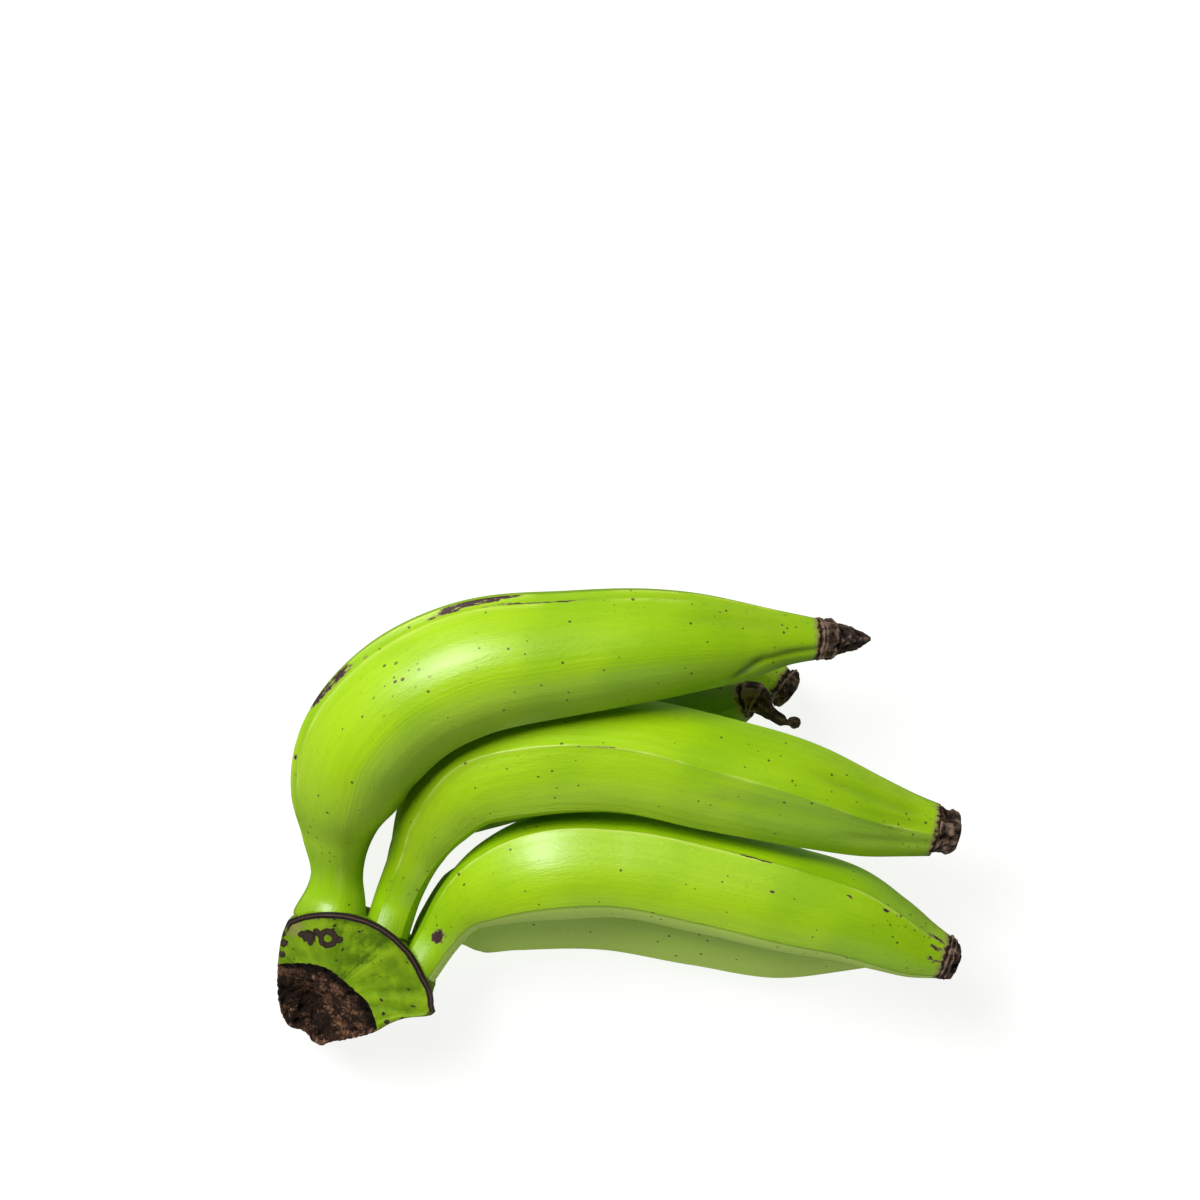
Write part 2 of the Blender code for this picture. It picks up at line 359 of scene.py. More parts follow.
class Paint:
    """One material's nodes, laid down by method calls and expressions."""

    MIX_SOCKETS = (0, 6, 7)  # a Mix node's factor and its two colours

    def __init__(self, name: str) -> None:
        """Starts a material with a bare Principled shader.

        Args:
            name: the material's name.
        """
        self.material = bpy.data.materials.new(name)
        self.material.use_nodes = True
        self.tree = self.material.node_tree
        self.shader = self.tree.nodes["Principled BSDF"]

    def node(self, kind: str, settings: dict[str, object], **sockets: object) -> bpy.types.Node:
        """Adds a node.

        Args:
            kind: the node's type.
            settings: its own settings, set before its sockets.
            **sockets: values or links for its sockets, by name with _ for a space.

        Returns:
            The node.
        """
        node = self.tree.nodes.new(kind)
        for name, value in settings.items():
            setattr(node, name, value)
        for name, value in sockets.items():
            self.plug(node.inputs[name.replace("_", " ")], value)
        return node

    def plug(self, socket: bpy.types.NodeSocket, value: object) -> None:
        """Links or sets one socket.

        Args:
            socket: the socket to feed.
            value: a wire or another socket, which is linked, or a plain value, which is set.
        """
        if isinstance(value, Wire):
            self.tree.links.new(value.socket, socket)
        elif isinstance(value, bpy.types.NodeSocket):
            self.tree.links.new(value, socket)
        elif isinstance(value, tuple) and len(value) == 3 and socket.type == "RGBA":
            socket.default_value = (*value, 1)
        else:
            socket.default_value = value

    def stored(self, name: str) -> Wire:
        """A number that the mesh keeps for each vertex."""
        return Wire(self.tree, self.node("ShaderNodeAttribute", {"attribute_name": name}).outputs["Fac"])

    def lengthwise(self, stretch: float = 1) -> bpy.types.NodeSocket:
        """Reads the place on the straight blank that each point was bent from.

        Args:
            stretch: scales the place along the blank, so that under 1 a pattern is drawn out.

        Returns:
            The place, in metres.
        """
        place = self.node("ShaderNodeAttribute", {"attribute_name": "straight"}).outputs["Vector"]
        scaled = self.node("ShaderNodeVectorMath", {"operation": "MULTIPLY"})
        self.plug(scaled.inputs[0], place)
        self.plug(scaled.inputs[1], (stretch, 1, 1))
        return scaled.outputs[0]

    def here(self) -> bpy.types.NodeSocket:
        """The place on the object, in metres."""
        return self.node("ShaderNodeTexCoord", {}).outputs["Object"]

    def clouds(
        self, at: bpy.types.NodeSocket, size: float, detail: float = 3, rough: float = 0.5, swirl: float = 0
    ) -> Wire:
        """Adds noise.

        Args:
            at: the place to read it at.
            size: the size of its features in millimetres.
            detail: how many finer layers it has.
            rough: how strong the finer layers are.
            swirl: how far it is twisted.

        Returns:
            The noise, from 0 to 1.
        """
        sockets = {"Scale": 1 / (size * MM), "Detail": detail, "Roughness": rough, "Distortion": swirl}
        return Wire(self.tree, self.node("ShaderNodeTexNoise", {}, Vector=at, **sockets).outputs["Fac"])

    def cells(self, at: bpy.types.NodeSocket, size: float) -> tuple[Wire, Wire]:
        """Adds a pattern of cells.

        Args:
            at: the place to read it at.
            size: the size of a cell in millimetres.

        Returns:
            The distance to the nearest seed, and a number from 0 to 1 that each cell draws.
        """
        made = self.node("ShaderNodeTexVoronoi", {}, Vector=at, Scale=1 / (size * MM))
        apart = self.node("ShaderNodeSeparateColor", {}, Color=made.outputs["Color"])
        return Wire(self.tree, made.outputs["Distance"]), Wire(self.tree, apart.outputs["Red"])

    def step(self, value: Wire, low: float, high: float) -> Wire:
        """Turns a number into a smooth step.

        Args:
            value: the number.
            low: where the step starts.
            high: where it ends, which may be below low.

        Returns:
            0 on low's side of the step, 1 on high's.
        """
        smooth = {"interpolation_type": "SMOOTHSTEP"}
        made = self.node("ShaderNodeMapRange", smooth, Value=value, From_Min=low, From_Max=high)
        return Wire(self.tree, made.outputs["Result"])

    def blend(self, share: Operand, first: object, second: object) -> bpy.types.NodeSocket:
        """Mixes two colours.

        Args:
            share: how far the result is on the way to the second, from 0 to 1.
            first: a colour or a socket.
            second: another.

        Returns:
            The mixed colour.
        """
        made = self.node("ShaderNodeMix", {"data_type": "RGBA"})
        for place, value in zip(self.MIX_SOCKETS, (share, first, second), strict=True):
            self.plug(made.inputs[place], value)
        return made.outputs[2]

    def relief(self, height: Wire, depth: float) -> None:
        """Bumps the surface by this height, of which 1 stands this many millimetres high."""
        made = self.node("ShaderNodeBump", {}, Height=height, Distance=depth * MM, Strength=1.0)
        self.plug(self.shader.inputs["Normal"], made.outputs["Normal"])

    def surface(self, **sockets: object) -> None:
        """Feeds the shader's sockets, by name with _ for a space."""
        for name, value in sockets.items():
            self.plug(self.shader.inputs[name.replace("_", " ")], value)


@dataclass(frozen=True)
class WaxySkin:
    """The skin of a green fruit: lime, streaked, pale along its ridges and specked with brown, with painted
    shade and painted light.
    """

    lime: Colour = (0.285, 0.53, 0.002)
    fresh: Colour = (0.37, 0.62, 0.003)
    # dark green, for streaks and mottle and for the painted shade
    deep: Colour = (0.10, 0.20, 0.002)
    pale: Colour = (0.58, 0.74, 0.12)
    # painted light: the paler green laid where light from the front and the white floor's reflection fall
    bloom: Colour = (0.62, 0.90, 0.12)
    speck: Colour = (0.07, 0.045, 0.008)
    bruise: Colour = (0.045, 0.018, 0.016)
    dust: Colour = (0.30, 0.20, 0.10)
    roughness: float = 0.42
    rubbed_roughness: float = 0.3  # what a rubbed place adds
    shine: float = 0.42
    coat: float = 0.3
    coat_roughness: float = 0.3
    relief: float = 0.14
    tone_size: float = 40
    streak_size: float = 1.5
    mottle_size: float = 2.4
    peel_size: float = 0.75
    tear_size: float = 1.3
    speck_gap: float = 4.4
    fine_speck_gap: float = 2.6

    def material(self) -> bpy.types.Material:
        """Makes the material.

        Returns:
            The material.
        """
        paint = Paint("green_skin")
        even = paint.lengthwise()
        streaks = paint.clouds(paint.lengthwise(0.06), self.streak_size, 3, 0.6)
        mottle = paint.clouds(even, self.mottle_size, 3, 0.6)
        ragged = paint.clouds(paint.lengthwise(0.3), self.tear_size, 4, 0.7) - 0.5
        scuff = paint.stored("scuff")
        rub = scuff * 0.8 + ragged * 1.5 * paint.step(scuff, 0.0, 0.3) + 0.36
        tip = paint.stored("tip") + ragged * 0.5 + (mottle - 0.5) * 0.9
        colour = self.green(paint, even, streaks, mottle)
        colour = paint.blend(self.specks(paint, even), colour, self.speck)
        colour = paint.blend(paint.step(rub, 0.78, 0.92) * 0.6, colour, self.dust)
        colour = paint.blend(paint.step(rub, 0.9, 1.0), colour, self.bruise)
        colour = paint.blend(paint.step(tip, 0.40, 0.80) * 0.6, colour, self.dust)
        colour = paint.blend(paint.step(tip, 0.80, 1.0), colour, self.bruise)
        paint.surface(
            Base_Color=colour,
            Roughness=self.roughness + paint.step(rub, 0.8, 1.0) * self.rubbed_roughness,
            Specular_IOR_Level=self.shine,
            Coat_Weight=self.coat,
            Coat_Roughness=self.coat_roughness,
        )
        peel = paint.clouds(paint.lengthwise(0.4), self.peel_size, 2, 0.5)
        paint.relief(peel + streaks * 0.2 - paint.step(rub, 0.85, 1.0) * 0.6, self.relief)
        return paint.material

    def green(
        self, paint: Paint, even: bpy.types.NodeSocket, streaks: Wire, mottle: Wire
    ) -> bpy.types.NodeSocket:
        """Mixes the greens, with painted shade, painted light and pale ridges.

        Args:
            paint: the material's nodes.
            even: the place on the straight blank.
            streaks: noise drawn out along the fruit.
            mottle: even noise.

        Returns:
            The colour.
        """
        broad = paint.step(paint.clouds(even, self.tone_size, 2), 0.36, 0.64)
        colour = paint.blend(broad, self.lime, self.fresh)
        colour = paint.blend(paint.step(streaks, 0.60, 0.36) * 0.08, colour, self.deep)
        colour = paint.blend(paint.step(mottle, 0.40, 0.30) * 0.12, colour, self.deep)
        # painted shade and painted light, laid from what the mesh stores for each fruit
        colour = paint.blend(paint.stored("shade"), colour, self.deep)
        colour = paint.blend(paint.stored("bloom"), colour, self.bloom)
        pale = paint.stored("ridge") * paint.step(streaks, 0.32, 0.55) * paint.step(broad, 0.0, 0.6)
        return paint.blend(pale * 0.7, colour, self.pale)

    def specks(self, paint: Paint, at: bpy.types.NodeSocket) -> Wire:
        """Draws small brown dots in a few of the cells, more of them where the mesh says so.

        Args:
            paint: the material's nodes.
            at: the place on the straight blank.

        Returns:
            How much of a speck each point is, from 0 to 1.
        """
        near, lot = paint.cells(at, self.speck_gap)
        small = paint.step(near + lot * 0.10, 0.150, 0.105) * paint.step(lot, 0.62, 0.58)
        close, draw = paint.cells(at, self.fine_speck_gap)
        fine = paint.step(close + draw * 0.24, 0.30, 0.20) * paint.stored("spotted")
        return (small * 0.85).at_least(fine * 1.2).at_most(1.0)


@dataclass(frozen=True)
class CrownSkin:
    """The crown: creased olive green with painted light and shade on its folds, a dark double scar round
    the fruits and a dry fibrous cut.
    """

    olive: Colour = (0.13, 0.25, 0.004)
    # lighter green, for random tone and grain and for painted light on the folds' crests
    light: Colour = (0.24, 0.40, 0.008)
    # painted shade: the dark green laid in the hollows of the folds
    deep: Colour = (0.045, 0.11, 0.002)
    straw: Colour = (0.30, 0.24, 0.10)
    scar: Colour = (0.020, 0.013, 0.011)
    scar_light: Colour = (0.075, 0.05, 0.038)
    rust: Colour = (0.15, 0.12, 0.02)
    bark: Colour = (0.016, 0.009, 0.006)
    fibre: Colour = (0.072, 0.036, 0.021)
    fleck: Colour = (0.30, 0.155, 0.085)
    char: Colour = (0.006, 0.004, 0.003)
    roughness: float = 0.58
    dry_roughness: float = 0.35  # what the cut adds
    shine: float = 0.12
    relief: float = 0.35
    tone_size: float = 11
    mottle_size: float = 5
    grain_size: float = 0.8
    tangle_size: float = 1.5
    tear_size: float = 1.7
    dot_gap: float = 3.2
    threads: tuple[tuple[float, float], ...] = ((1.9, 3.0), (2.6, 1.5), (1.2, 2.0))  # size and swirl
    scar_lines: tuple[float, float] = (0.45, 1.75)  # how far inside the rim the dark lines run
    scar_breadth: float = 2.5

    def material(self) -> bpy.types.Material:
        """Makes the material.

        Returns:
            The material.
        """
        paint = Paint("crown_skin")
        here = paint.here()
        mottle = paint.clouds(here, self.mottle_size, 4, 0.65)
        grain = paint.clouds(here, self.grain_size, 3, 0.6)
        tangle = paint.clouds(here, self.tangle_size, 3, 0.6, 1.5)
        skin = self.scarred(paint, self.skin(paint, here, mottle, grain), mottle, grain)
        inside = paint.step(paint.stored("cut") + (grain - 0.5) * 0.3, 0.42, 0.58)
        paint.surface(
            Base_Color=paint.blend(inside, skin, self.fibrous(paint, here, mottle, tangle)),
            Roughness=self.roughness + inside * self.dry_roughness,
            Specular_IOR_Level=self.shine,
        )
        paint.relief(grain * 0.35 + mottle * 0.4 + tangle * inside * 2.2, self.relief)
        return paint.material

    def skin(
        self, paint: Paint, here: bpy.types.NodeSocket, mottle: Wire, grain: Wire
    ) -> bpy.types.NodeSocket:
        """Paints the green band with painted light on its fold crests and painted shade in its fold
        hollows, and its blotches and specks.

        Args:
            paint: the material's nodes.
            here: the place on the object.
            mottle: broad noise.
            grain: fine noise.

        Returns:
            The colour.
        """
        fold = paint.stored("fold")
        # painted light: the folds' crests lift the tone towards the lighter green
        tone = fold * 0.3 + mottle * 0.6 + paint.clouds(here, self.tone_size, 2) * 0.6
        green = paint.blend(paint.step(tone, 0.6, 0.95), self.olive, self.light)
        # painted shade: dark green in the hollows of the folds
        green = paint.blend(paint.step(fold * 0.8 + mottle * 0.7, 0.70, 0.42) * 0.75, green, self.deep)
        green = paint.blend(paint.step(grain, 0.55, 0.8) * 0.25, green, self.light)
        near, lot = paint.cells(here, self.dot_gap)
        dots = paint.step(near + lot * 0.2, 0.20, 0.13) * paint.step(lot, 0.42, 0.38)
        green = paint.blend(dots * 0.8, green, self.scar)
        ragged = (paint.clouds(here, self.tear_size, 4, 0.7, 0.6) - 0.5) * 1.5
        dust = paint.step(paint.stored("dusty") + ragged, 0.35, 0.65)
        green = paint.blend(dust * paint.step(grain, 0.3, 0.6) * 0.8, green, self.straw)
        marked = paint.stored("blotch") + ragged
        green = paint.blend(paint.step(marked, 0.28, 0.5) * 0.5, green, self.rust)
        green = paint.blend(paint.step(marked, 0.42, 0.56), green, self.scar)
        return paint.blend(paint.step(marked - grain * 0.9, 0.25, 0.4) * 0.5, green, self.scar_light)

    def scarred(
        self, paint: Paint, green: bpy.types.NodeSocket, mottle: Wire, grain: Wire
    ) -> bpy.types.NodeSocket:
        """Lays the rim's double scar over the green, with rust flecks just inside it.

        Args:
            paint: the material's nodes.
            green: the colour so far.
            mottle: broad noise.
            grain: fine noise.

        Returns:
            The colour.
        """
        away = paint.stored("away") + (mottle - 0.5) * 0.9 + (grain - 0.5) * 0.5
        front = paint.stored("front")
        flecked = paint.step(away, 8.0, self.scar_breadth) * paint.step(grain, 0.54, 0.64)
        green = paint.blend(flecked * 0.5, green, self.rust)
        green = paint.blend(paint.step(away, self.scar_breadth, 2.1) * front, green, self.scar_light)
        for middle, kept in zip(self.scar_lines, (1 - paint.stored("worn"), 1.0), strict=True):
            off = away - middle
            green = paint.blend(paint.step(off * off, 0.24, 0.12) * front * kept, green, self.scar)
        return green

    def fibrous(
        self, paint: Paint, here: bpy.types.NodeSocket, mottle: Wire, tangle: Wire
    ) -> bpy.types.NodeSocket:
        """Paints the dry brown cut, with threads all ways, paler flecks and a dark hollow and border.

        Args:
            paint: the material's nodes.
            here: the place on the object.
            mottle: broad noise.
            tangle: swirled noise.

        Returns:
            The colour.
        """
        brown = paint.blend(paint.step(tangle + (mottle - 0.5) * 1.2, 0.32, 0.68), self.bark, self.fibre)
        for size, swirl in self.threads:
            off = paint.clouds(here, size, 1, 0.5, swirl) - 0.5
            broken = paint.step(paint.clouds(here, size * 1.3, 2) + (mottle - 0.5) * 0.7, 0.52, 0.62)
            brown = paint.blend(paint.step(off * off, 0.0026, 0.0004) * broken * 0.85, brown, self.fleck)
        burnt = paint.stored("char") + (mottle - 0.5) * 2.2 + (tangle - 0.5)
        brown = paint.blend(paint.step(burnt, 0.5, 0.85) * 0.9, brown, self.char)
        return paint.blend(paint.stored("border") * paint.step(tangle, 0.9, 0.5), brown, self.char)


@dataclass(frozen=True)
class DriedFlower:
    """Dried flower remains: dark brown and creased, with grey tan, partly painted highlight, on what stands
    out and painted shade in the low creases and pits.
    """

    bark: Colour = (0.045, 0.028, 0.019)
    # grey tan on what stands out: partly the dry tissue's own colour, partly painted highlight
    tan_and_painted_highlight: Colour = (0.25, 0.165, 0.115)
    # painted shade: near black in the low creases and the hollows of the pits
    pit: Colour = (0.008, 0.005, 0.004)
    roughness: float = 0.82
    shine: float = 0.2
    relief: float = 0.9
    crease_size: float = 1.1
    grit_size: float = 0.5

    def material(self) -> bpy.types.Material:
        """Makes the material.

        Returns:
            The material.
        """
        paint = Paint("dried_flower")
        raised = paint.stored("raised")
        creases = paint.clouds(paint.lengthwise(0.35), self.crease_size, 4, 0.75)
        grit = paint.clouds(paint.here(), self.grit_size, 3, 0.7)
        # grey tan from the creases' pattern, and painted highlight where the flower stands out
        worn = paint.step(creases + grit * 0.3 + raised * 0.3, 0.62, 0.95)
        colour = paint.blend(worn, self.bark, self.tan_and_painted_highlight)
        # painted shade in the low creases and in the hollows
        colour = paint.blend(paint.step(creases + raised * 0.25, 0.46, 0.28), colour, self.pit)
        colour = paint.blend(paint.stored("hollow"), colour, self.pit)
        paint.surface(Base_Color=colour, Roughness=self.roughness, Specular_IOR_Level=self.shine)
        paint.relief(creases + grit * 0.4, self.relief)
        return paint.material


@dataclass(frozen=True)
class PaleFloor:
    """A plain, nearly white floor that glows, as over a light box, so that its shadows stay faint."""

    tone: Colour = (0.2, 0.2, 0.2)
    light: Colour = (1.0, 1.0, 0.995)
    glow: float = 0.87

    def material(self) -> bpy.types.Material:
        """Makes the material.

        Returns:
            The material.
        """
        paint = Paint("pale_floor")
        paint.surface(
            Base_Color=self.tone,
            Roughness=1.0,
            Specular_IOR_Level=0.0,
            Emission_Color=self.light,
            Emission_Strength=self.glow,
        )
        return paint.material


@dataclass(frozen=True)
class Crease:
    """A line pressed into the skin between two shares and angles, or raised where its depth is below 0."""

    shares: tuple[float, float]
    angles: tuple[float, float]
    depth: float
    width: float


@dataclass(frozen=True)
class Scuff:
    """A bruised stroke on the skin from one share and angle to another."""

    shares: tuple[float, float]
    angles: tuple[float, float]
    width: float
    strength: float = 1.0


@dataclass(frozen=True)
class Spotted:
    """A patch of skin with more specks: its middle as share and angle, and its size in millimetres."""

    share: float
    angle: float
    size: float


@dataclass(frozen=True)
class Along:
    """Where each point of a bent piece lies, as on the straight blank that it was bent from."""

    share: Array  # of the length
    angle: Array  # radians round the middle line
    radius: Array
    length: float

    def straight(self) -> Array:
        """The places on the straight blank, one row each."""
        y, z = self.radius * np.cos(self.angle), self.radius * np.sin(self.angle)
        return np.stack((self.share * self.length, y, z), axis=1)

    def from_share(self, middle: float) -> Array:
        """Millimetres along the piece from this share of its length."""
        return (self.share - middle) * self.length

    def from_angle(self, middle: float | Array) -> Array:
        """Radians round the piece from this angle, the shorter way round."""
        return (self.angle - middle + pi) % (2 * pi) - pi

    def beside(self, stroke: Crease | Scuff) -> tuple[Array, Array]:
        """Measures the points against a stroke.

        Args:
            stroke: a line on the piece between two shares and angles.

        Returns:
            The distance from its middle in millimetres, and 1 within its ends falling to 0.
        """
        start, end = stroke.shares
        first, last = stroke.angles
        along = np.clip((self.share - start) / (end - start), 0, 1)
        across = self.from_angle(np.radians(first + (last - first) * along)) * self.radius
        fade = min(0.35 * (end - start), 0.03)
        window = ease(self.share, start - fade, start + fade) * ease(self.share, end + fade, end - fade)
        return across, window


@dataclass(frozen=True)
class Pit:
    """A hollow in a dried flower, or a crest where its depth is below 0; the angle is in degrees."""

    share: float
    angle: float
    width: float
    depth: float


@dataclass(frozen=True)
class FlowerEnd:
    """The dried remains of a flower on a fruit's tip: a profile that droops, or a path of its own."""

    name: str
    profile: tuple[tuple[float, float], ...] = ()
    path: tuple[Station, ...] = ()
    droop: tuple[float, float, float] = (0, 0, 0)
    lobes: int = 3
    lobe_depth: float = 0.12
    crumple: float = 1.0
    pits: tuple[Pit, ...] = ()
    rims: tuple[tuple[float, float], ...] = ()  # share and height of each raised ring
    seed: float = 1.0

    SIDES = 40
    RINGS = 26
    END_RINGS = 4
    LEVELS = 2
    FOLD_SIZE = 2.2
    FINE_SIZE = 0.8
    SETTLED = 1.5  # how far from the tip the crumpling takes to reach its full depth
    RIM_WIDTH = 0.4

    def build(self, tip: Array, way: Array, material: bpy.types.Material) -> bpy.types.Object:
        """Models the flower end on the tip.

        Args:
            tip: the middle of the fruit's end.
            way: the unit vector that the fruit's end points along.
            material: the finish of dried flowers.

        Returns:
            The piece.
        """
        line = MiddleLine(self.path or self.stations(tip, way))
        piece = drum(self.name, self.SIDES, self.RINGS, self.END_RINGS, self.LEVELS)
        share, angle, inward = polar(points_of(piece))
        reach = line.radius(share) * inward
        at = Along(share, angle, reach, line.length)
        straight = at.straight()
        lobed = 1 + self.lobe_depth * np.cos(self.lobes * angle + 2 * share + self.seed)
        folds = noise_at(straight * (0.35, 1, 1), self.FOLD_SIZE, self.seed)
        fine = noise_at(straight * (0.5, 1, 1), self.FINE_SIZE, self.seed + 3)
        settled = 0.35 + 0.65 * ease(share * line.length, 0, self.SETTLED)
        crumpled = (folds * 0.8 + fine * 0.45) * self.crumple * settled
        reach = reach * lobed + crumpled * np.minimum(reach / 3, 1)
        # hollow carries the painted shade of the pits; raised pits and rims carry grey tan and painted
        # highlight
        hollow, tan_and_painted_highlight = np.zeros_like(share), np.zeros_like(share)
        for pit in self.pits:
            apart = np.hypot(at.from_share(pit.share), at.from_angle(radians(pit.angle)) * reach)
            apart = apart + fine * 0.4
            reach = reach - pit.depth * bell(apart, pit.width)
            found = bell(apart, pit.width * 0.8)
            hollow = np.maximum(hollow, found * (pit.depth > 0))
            tan_and_painted_highlight = np.maximum(tan_and_painted_highlight, found * (pit.depth < 0))
        for rim_share, height in self.rims:
            found = bell(at.from_share(rim_share) + folds * 0.3, self.RIM_WIDTH)
            reach = reach + height * found * (inward > 0.9)
            tan_and_painted_highlight = np.maximum(tan_and_painted_highlight, found)
        move_points(piece, line.wrap(share, angle, np.maximum(reach, 0)))
        # raised feeds the grey tan and painted highlight, hollow the painted shade
        store(piece, straight=straight * MM, raised=folds + tan_and_painted_highlight * 1.2, hollow=hollow)
        piece.data.materials.append(material)
        return piece

    def stations(self, tip: Array, way: Array) -> list[Station]:
        """Lays the profile out from the tip, bending as it droops.

        Args:
            tip: the middle of the fruit's end.
            way: the unit vector that it points along.

        Returns:
            Places and radii.
        """
        place, before, found = tip.copy(), 0.0, []
        for distance, radius in self.profile:
            place = place + way * (distance - before)
            found.append((*place, radius))
            before = distance
            way = way + np.array(self.droop) * 0.5
            way = way / np.linalg.norm(way)
        return found


@dataclass(frozen=True)
class Fruit:
    """One plantain, with its stations and ridges as in the solid it stands for."""

    name: str
    root_angle: float
    root_height: float
    root_radius: float
    stations: tuple[Station, ...]
    ridges: tuple[float, ...]
    softness: tuple[float, ...]
    twist: float
    flower_end: FlowerEnd
    creases: tuple[Crease, ...] = ()
    scuffs: tuple[Scuff, ...] = ()
    spotted: tuple[Spotted, ...] = ()
    # painted light laid over the whole fruit, as a paler green
    bloom: float = 0.0
    painted_light_side: tuple[float, float] | None = None  # angles in degrees between which painted light makes the skin paler
    # painted shade laid over the whole fruit, for one that lies in shadow
    shade: float = 0.0
    painted_inner_shade: float = 0.0  # painted shade: how much darker the green is painted on the side that faces the next fruit
    seed: float = 1.0

    SIDES = 40
    RINGS = 72
    END_RINGS = 4
    LEVELS = 2
    FLATNESS = 0.5
    CROWDING = 0.11  # draws the mesh's columns towards the ridges
    RIB_HEIGHT = 0.22
    RIB_WIDTH = 0.75
    RIB_LINE = 0.55  # how wide the pale line on a ridge is
    LUMP_SIZE = 16
    LUMP_HEIGHT = 0.3
    INNER_START = (125, 172)  # degrees over which the painted shade of the inner side sets in
    INNER_END = (345, 300)
    FADED_TIP = 5.0  # how far from its end the skin starts to dry

    def line(self) -> MiddleLine:
        """Draws the fruit's middle line, from inside the crown to its tip.

        Returns:
            The line.
        """
        reach = CROWN_RADIUS - ROOT_DEPTH
        turn = radians(self.root_angle)
        x, y = CROWN_AXIS
        root = (x + reach * cos(turn), y + reach * sin(turn), self.root_height, self.root_radius)
        return MiddleLine((root, *self.stations))

    def build(self, material: bpy.types.Material) -> bpy.types.Object:
        """Models the fruit.

        Args:
            material: the finish of green skin.

        Returns:
            The piece.
        """
        line = self.line()
        piece = drum(self.name, self.SIDES, self.RINGS, self.END_RINGS, self.LEVELS)
        share, turn, inward = polar(points_of(piece))
        radius = line.radius(share)
        angle, apart, flat, soft = self.ridged(share, turn, radius)
        at = Along(share, angle, radius, line.length)
        straight = at.straight()
        lumps = noise_at(straight * (0.6, 1, 1), self.LUMP_SIZE, self.seed)
        sharp = ease(soft, 0.4, 0.0) * ease(share, 0.0, 0.12) * ease(share, 1.0, 0.93)
        rib = bell(apart, self.RIB_WIDTH) * sharp
        creased, raised = self.creased(at)
        reach = radius * flat + rib * self.RIB_HEIGHT + lumps * self.LUMP_HEIGHT - creased
        places = self.under_the_rim(line.wrap(share, angle, reach * inward))
        places[:, 2] = np.maximum(places[:, 2], 0)
        move_points(piece, places)
        store(
            piece,
            straight=straight * MM,
            ridge=np.maximum(bell(apart, self.RIB_LINE) * sharp, raised),
            scuff=self.scuffed(at),
            spotted=self.spotting(at),
            # painted shade
            shade=self.shaded(at, creased),
            tip=ease(share, 1 - self.FADED_TIP / line.length, 1.0),
            # painted light
            bloom=self.painted_light_share(at),
        )
        piece.data.materials.append(material)
        return piece

    def shaded(self, at: Along, creased: Array) -> Array:
        """Finds the painted shade: darker green in the creases, at the root by the crown, on the inner side
        and over a whole fruit that lies in shadow.

        Args:
            at: where the points lie.
            creased: the depth of the creases there.

        Returns:
            The painted shade's share, from 0 to 1.
        """
        turned = np.degrees(at.angle) % 360
        inner = ease(turned, *self.INNER_START) * ease(turned, *self.INNER_END) * self.painted_inner_shade
        shade = np.clip(creased * 0.3, 0, 0.5) + ease(at.share, 0.05, 0.0) * 0.4 + inner
        return np.maximum(shade, self.shade)

    def painted_light_share(self, at: Along) -> Array:
        """Finds how much painted light makes the skin paler.

        Args:
            at: where the points lie.

        Returns:
            The painted light's share, from 0 to 1.
        """
        if self.painted_light_side is None:
            return np.full_like(at.share, self.bloom)
        start, end = self.painted_light_side
        turned = (np.degrees(at.angle) % 360 - self.twist * (at.share - 0.5)) % 360
        return np.maximum(self.bloom, ease(turned, start - 2, start + 3) * ease(turned, end + 3, end - 2))

    def ridged(self, share: Array, turn: Array, radius: Array) -> tuple[Array, Array, Array, Array]:
        """The five-ridged section, with the mesh's columns drawn towards the ridges.

        Args:
            share: share of the length of each point.
            turn: radians round the even blank.
            radius: the radius there.

        Returns:
            The angle in radians, the distance to the nearest ridge in millimetres, the share of the radius
            and how soft that ridge is.
        """
        count = len(self.ridges)
        column = (turn / (2 * pi) % 1) * count
        face = np.minimum(column.astype(int), count - 1)
        along = column - face
        along = along - self.CROWDING * np.sin(2 * pi * along)
        starts = np.array(self.ridges, float)
        width = np.radians(np.diff((*starts, starts[0] + 360)))[face]
        angle = np.radians(starts[face] + self.twist * (share - 0.5)) + along * width
        chord = np.cos(width / 2) / np.cos((along - 0.5) * width)
        apart = np.minimum(along, 1 - along) * width * radius
        softness = np.array((*self.softness, self.softness[0]))
        soft = softness[face] + (softness[face + 1] - softness[face]) * along
        flat = 1 - self.FLATNESS * (1 - soft) * (1 - chord)
        return angle, apart, flat, softness[face + (along > 0.5)]

    @staticmethod
    def under_the_rim(places: Array) -> Array:
        """Keeps the end of the stalk, which runs into the crown, below the crown's rim.

        Args:
            places: one row of x, y and z for each point.

        Returns:
            The places, lowered where they have to be.
        """
        inside = np.hypot(places[:, 0] - CROWN_AXIS[0], places[:, 1] - CROWN_AXIS[1]) < CROWN_RADIUS - 0.3
        x, y, z = places.T
        cover = np.minimum(rim_height(x, y), cut_height(x, y)) - ROOT_COVER
        return np.column_stack((x, y, np.where(inside, np.minimum(z, cover), z)))

    def creased(self, at: Along) -> tuple[Array, Array]:
        """Adds up the creases.

        Args:
            at: where the points lie.

        Returns:
            How deep they are in millimetres, and how much a raised one shows.
        """
        depth, raised = np.zeros_like(at.share), np.zeros_like(at.share)
        for crease in self.creases:
            apart, window = at.beside(crease)
            mark = bell(apart, crease.width) * window
            depth += crease.depth * mark
            if crease.depth < 0:
                raised = np.maximum(raised, mark)
        return depth, raised

    def scuffed(self, at: Along) -> Array:
        """Finds how bruised the skin is.

        Args:
            at: where the points lie.

        Returns:
            The bruise's strength, from 0 to about 1.
        """
        found = np.zeros_like(at.share)
        for scuff in self.scuffs:
            apart, window = at.beside(scuff)
            found = np.maximum(found, scuff.strength * bell(apart, scuff.width) * window)
        return found

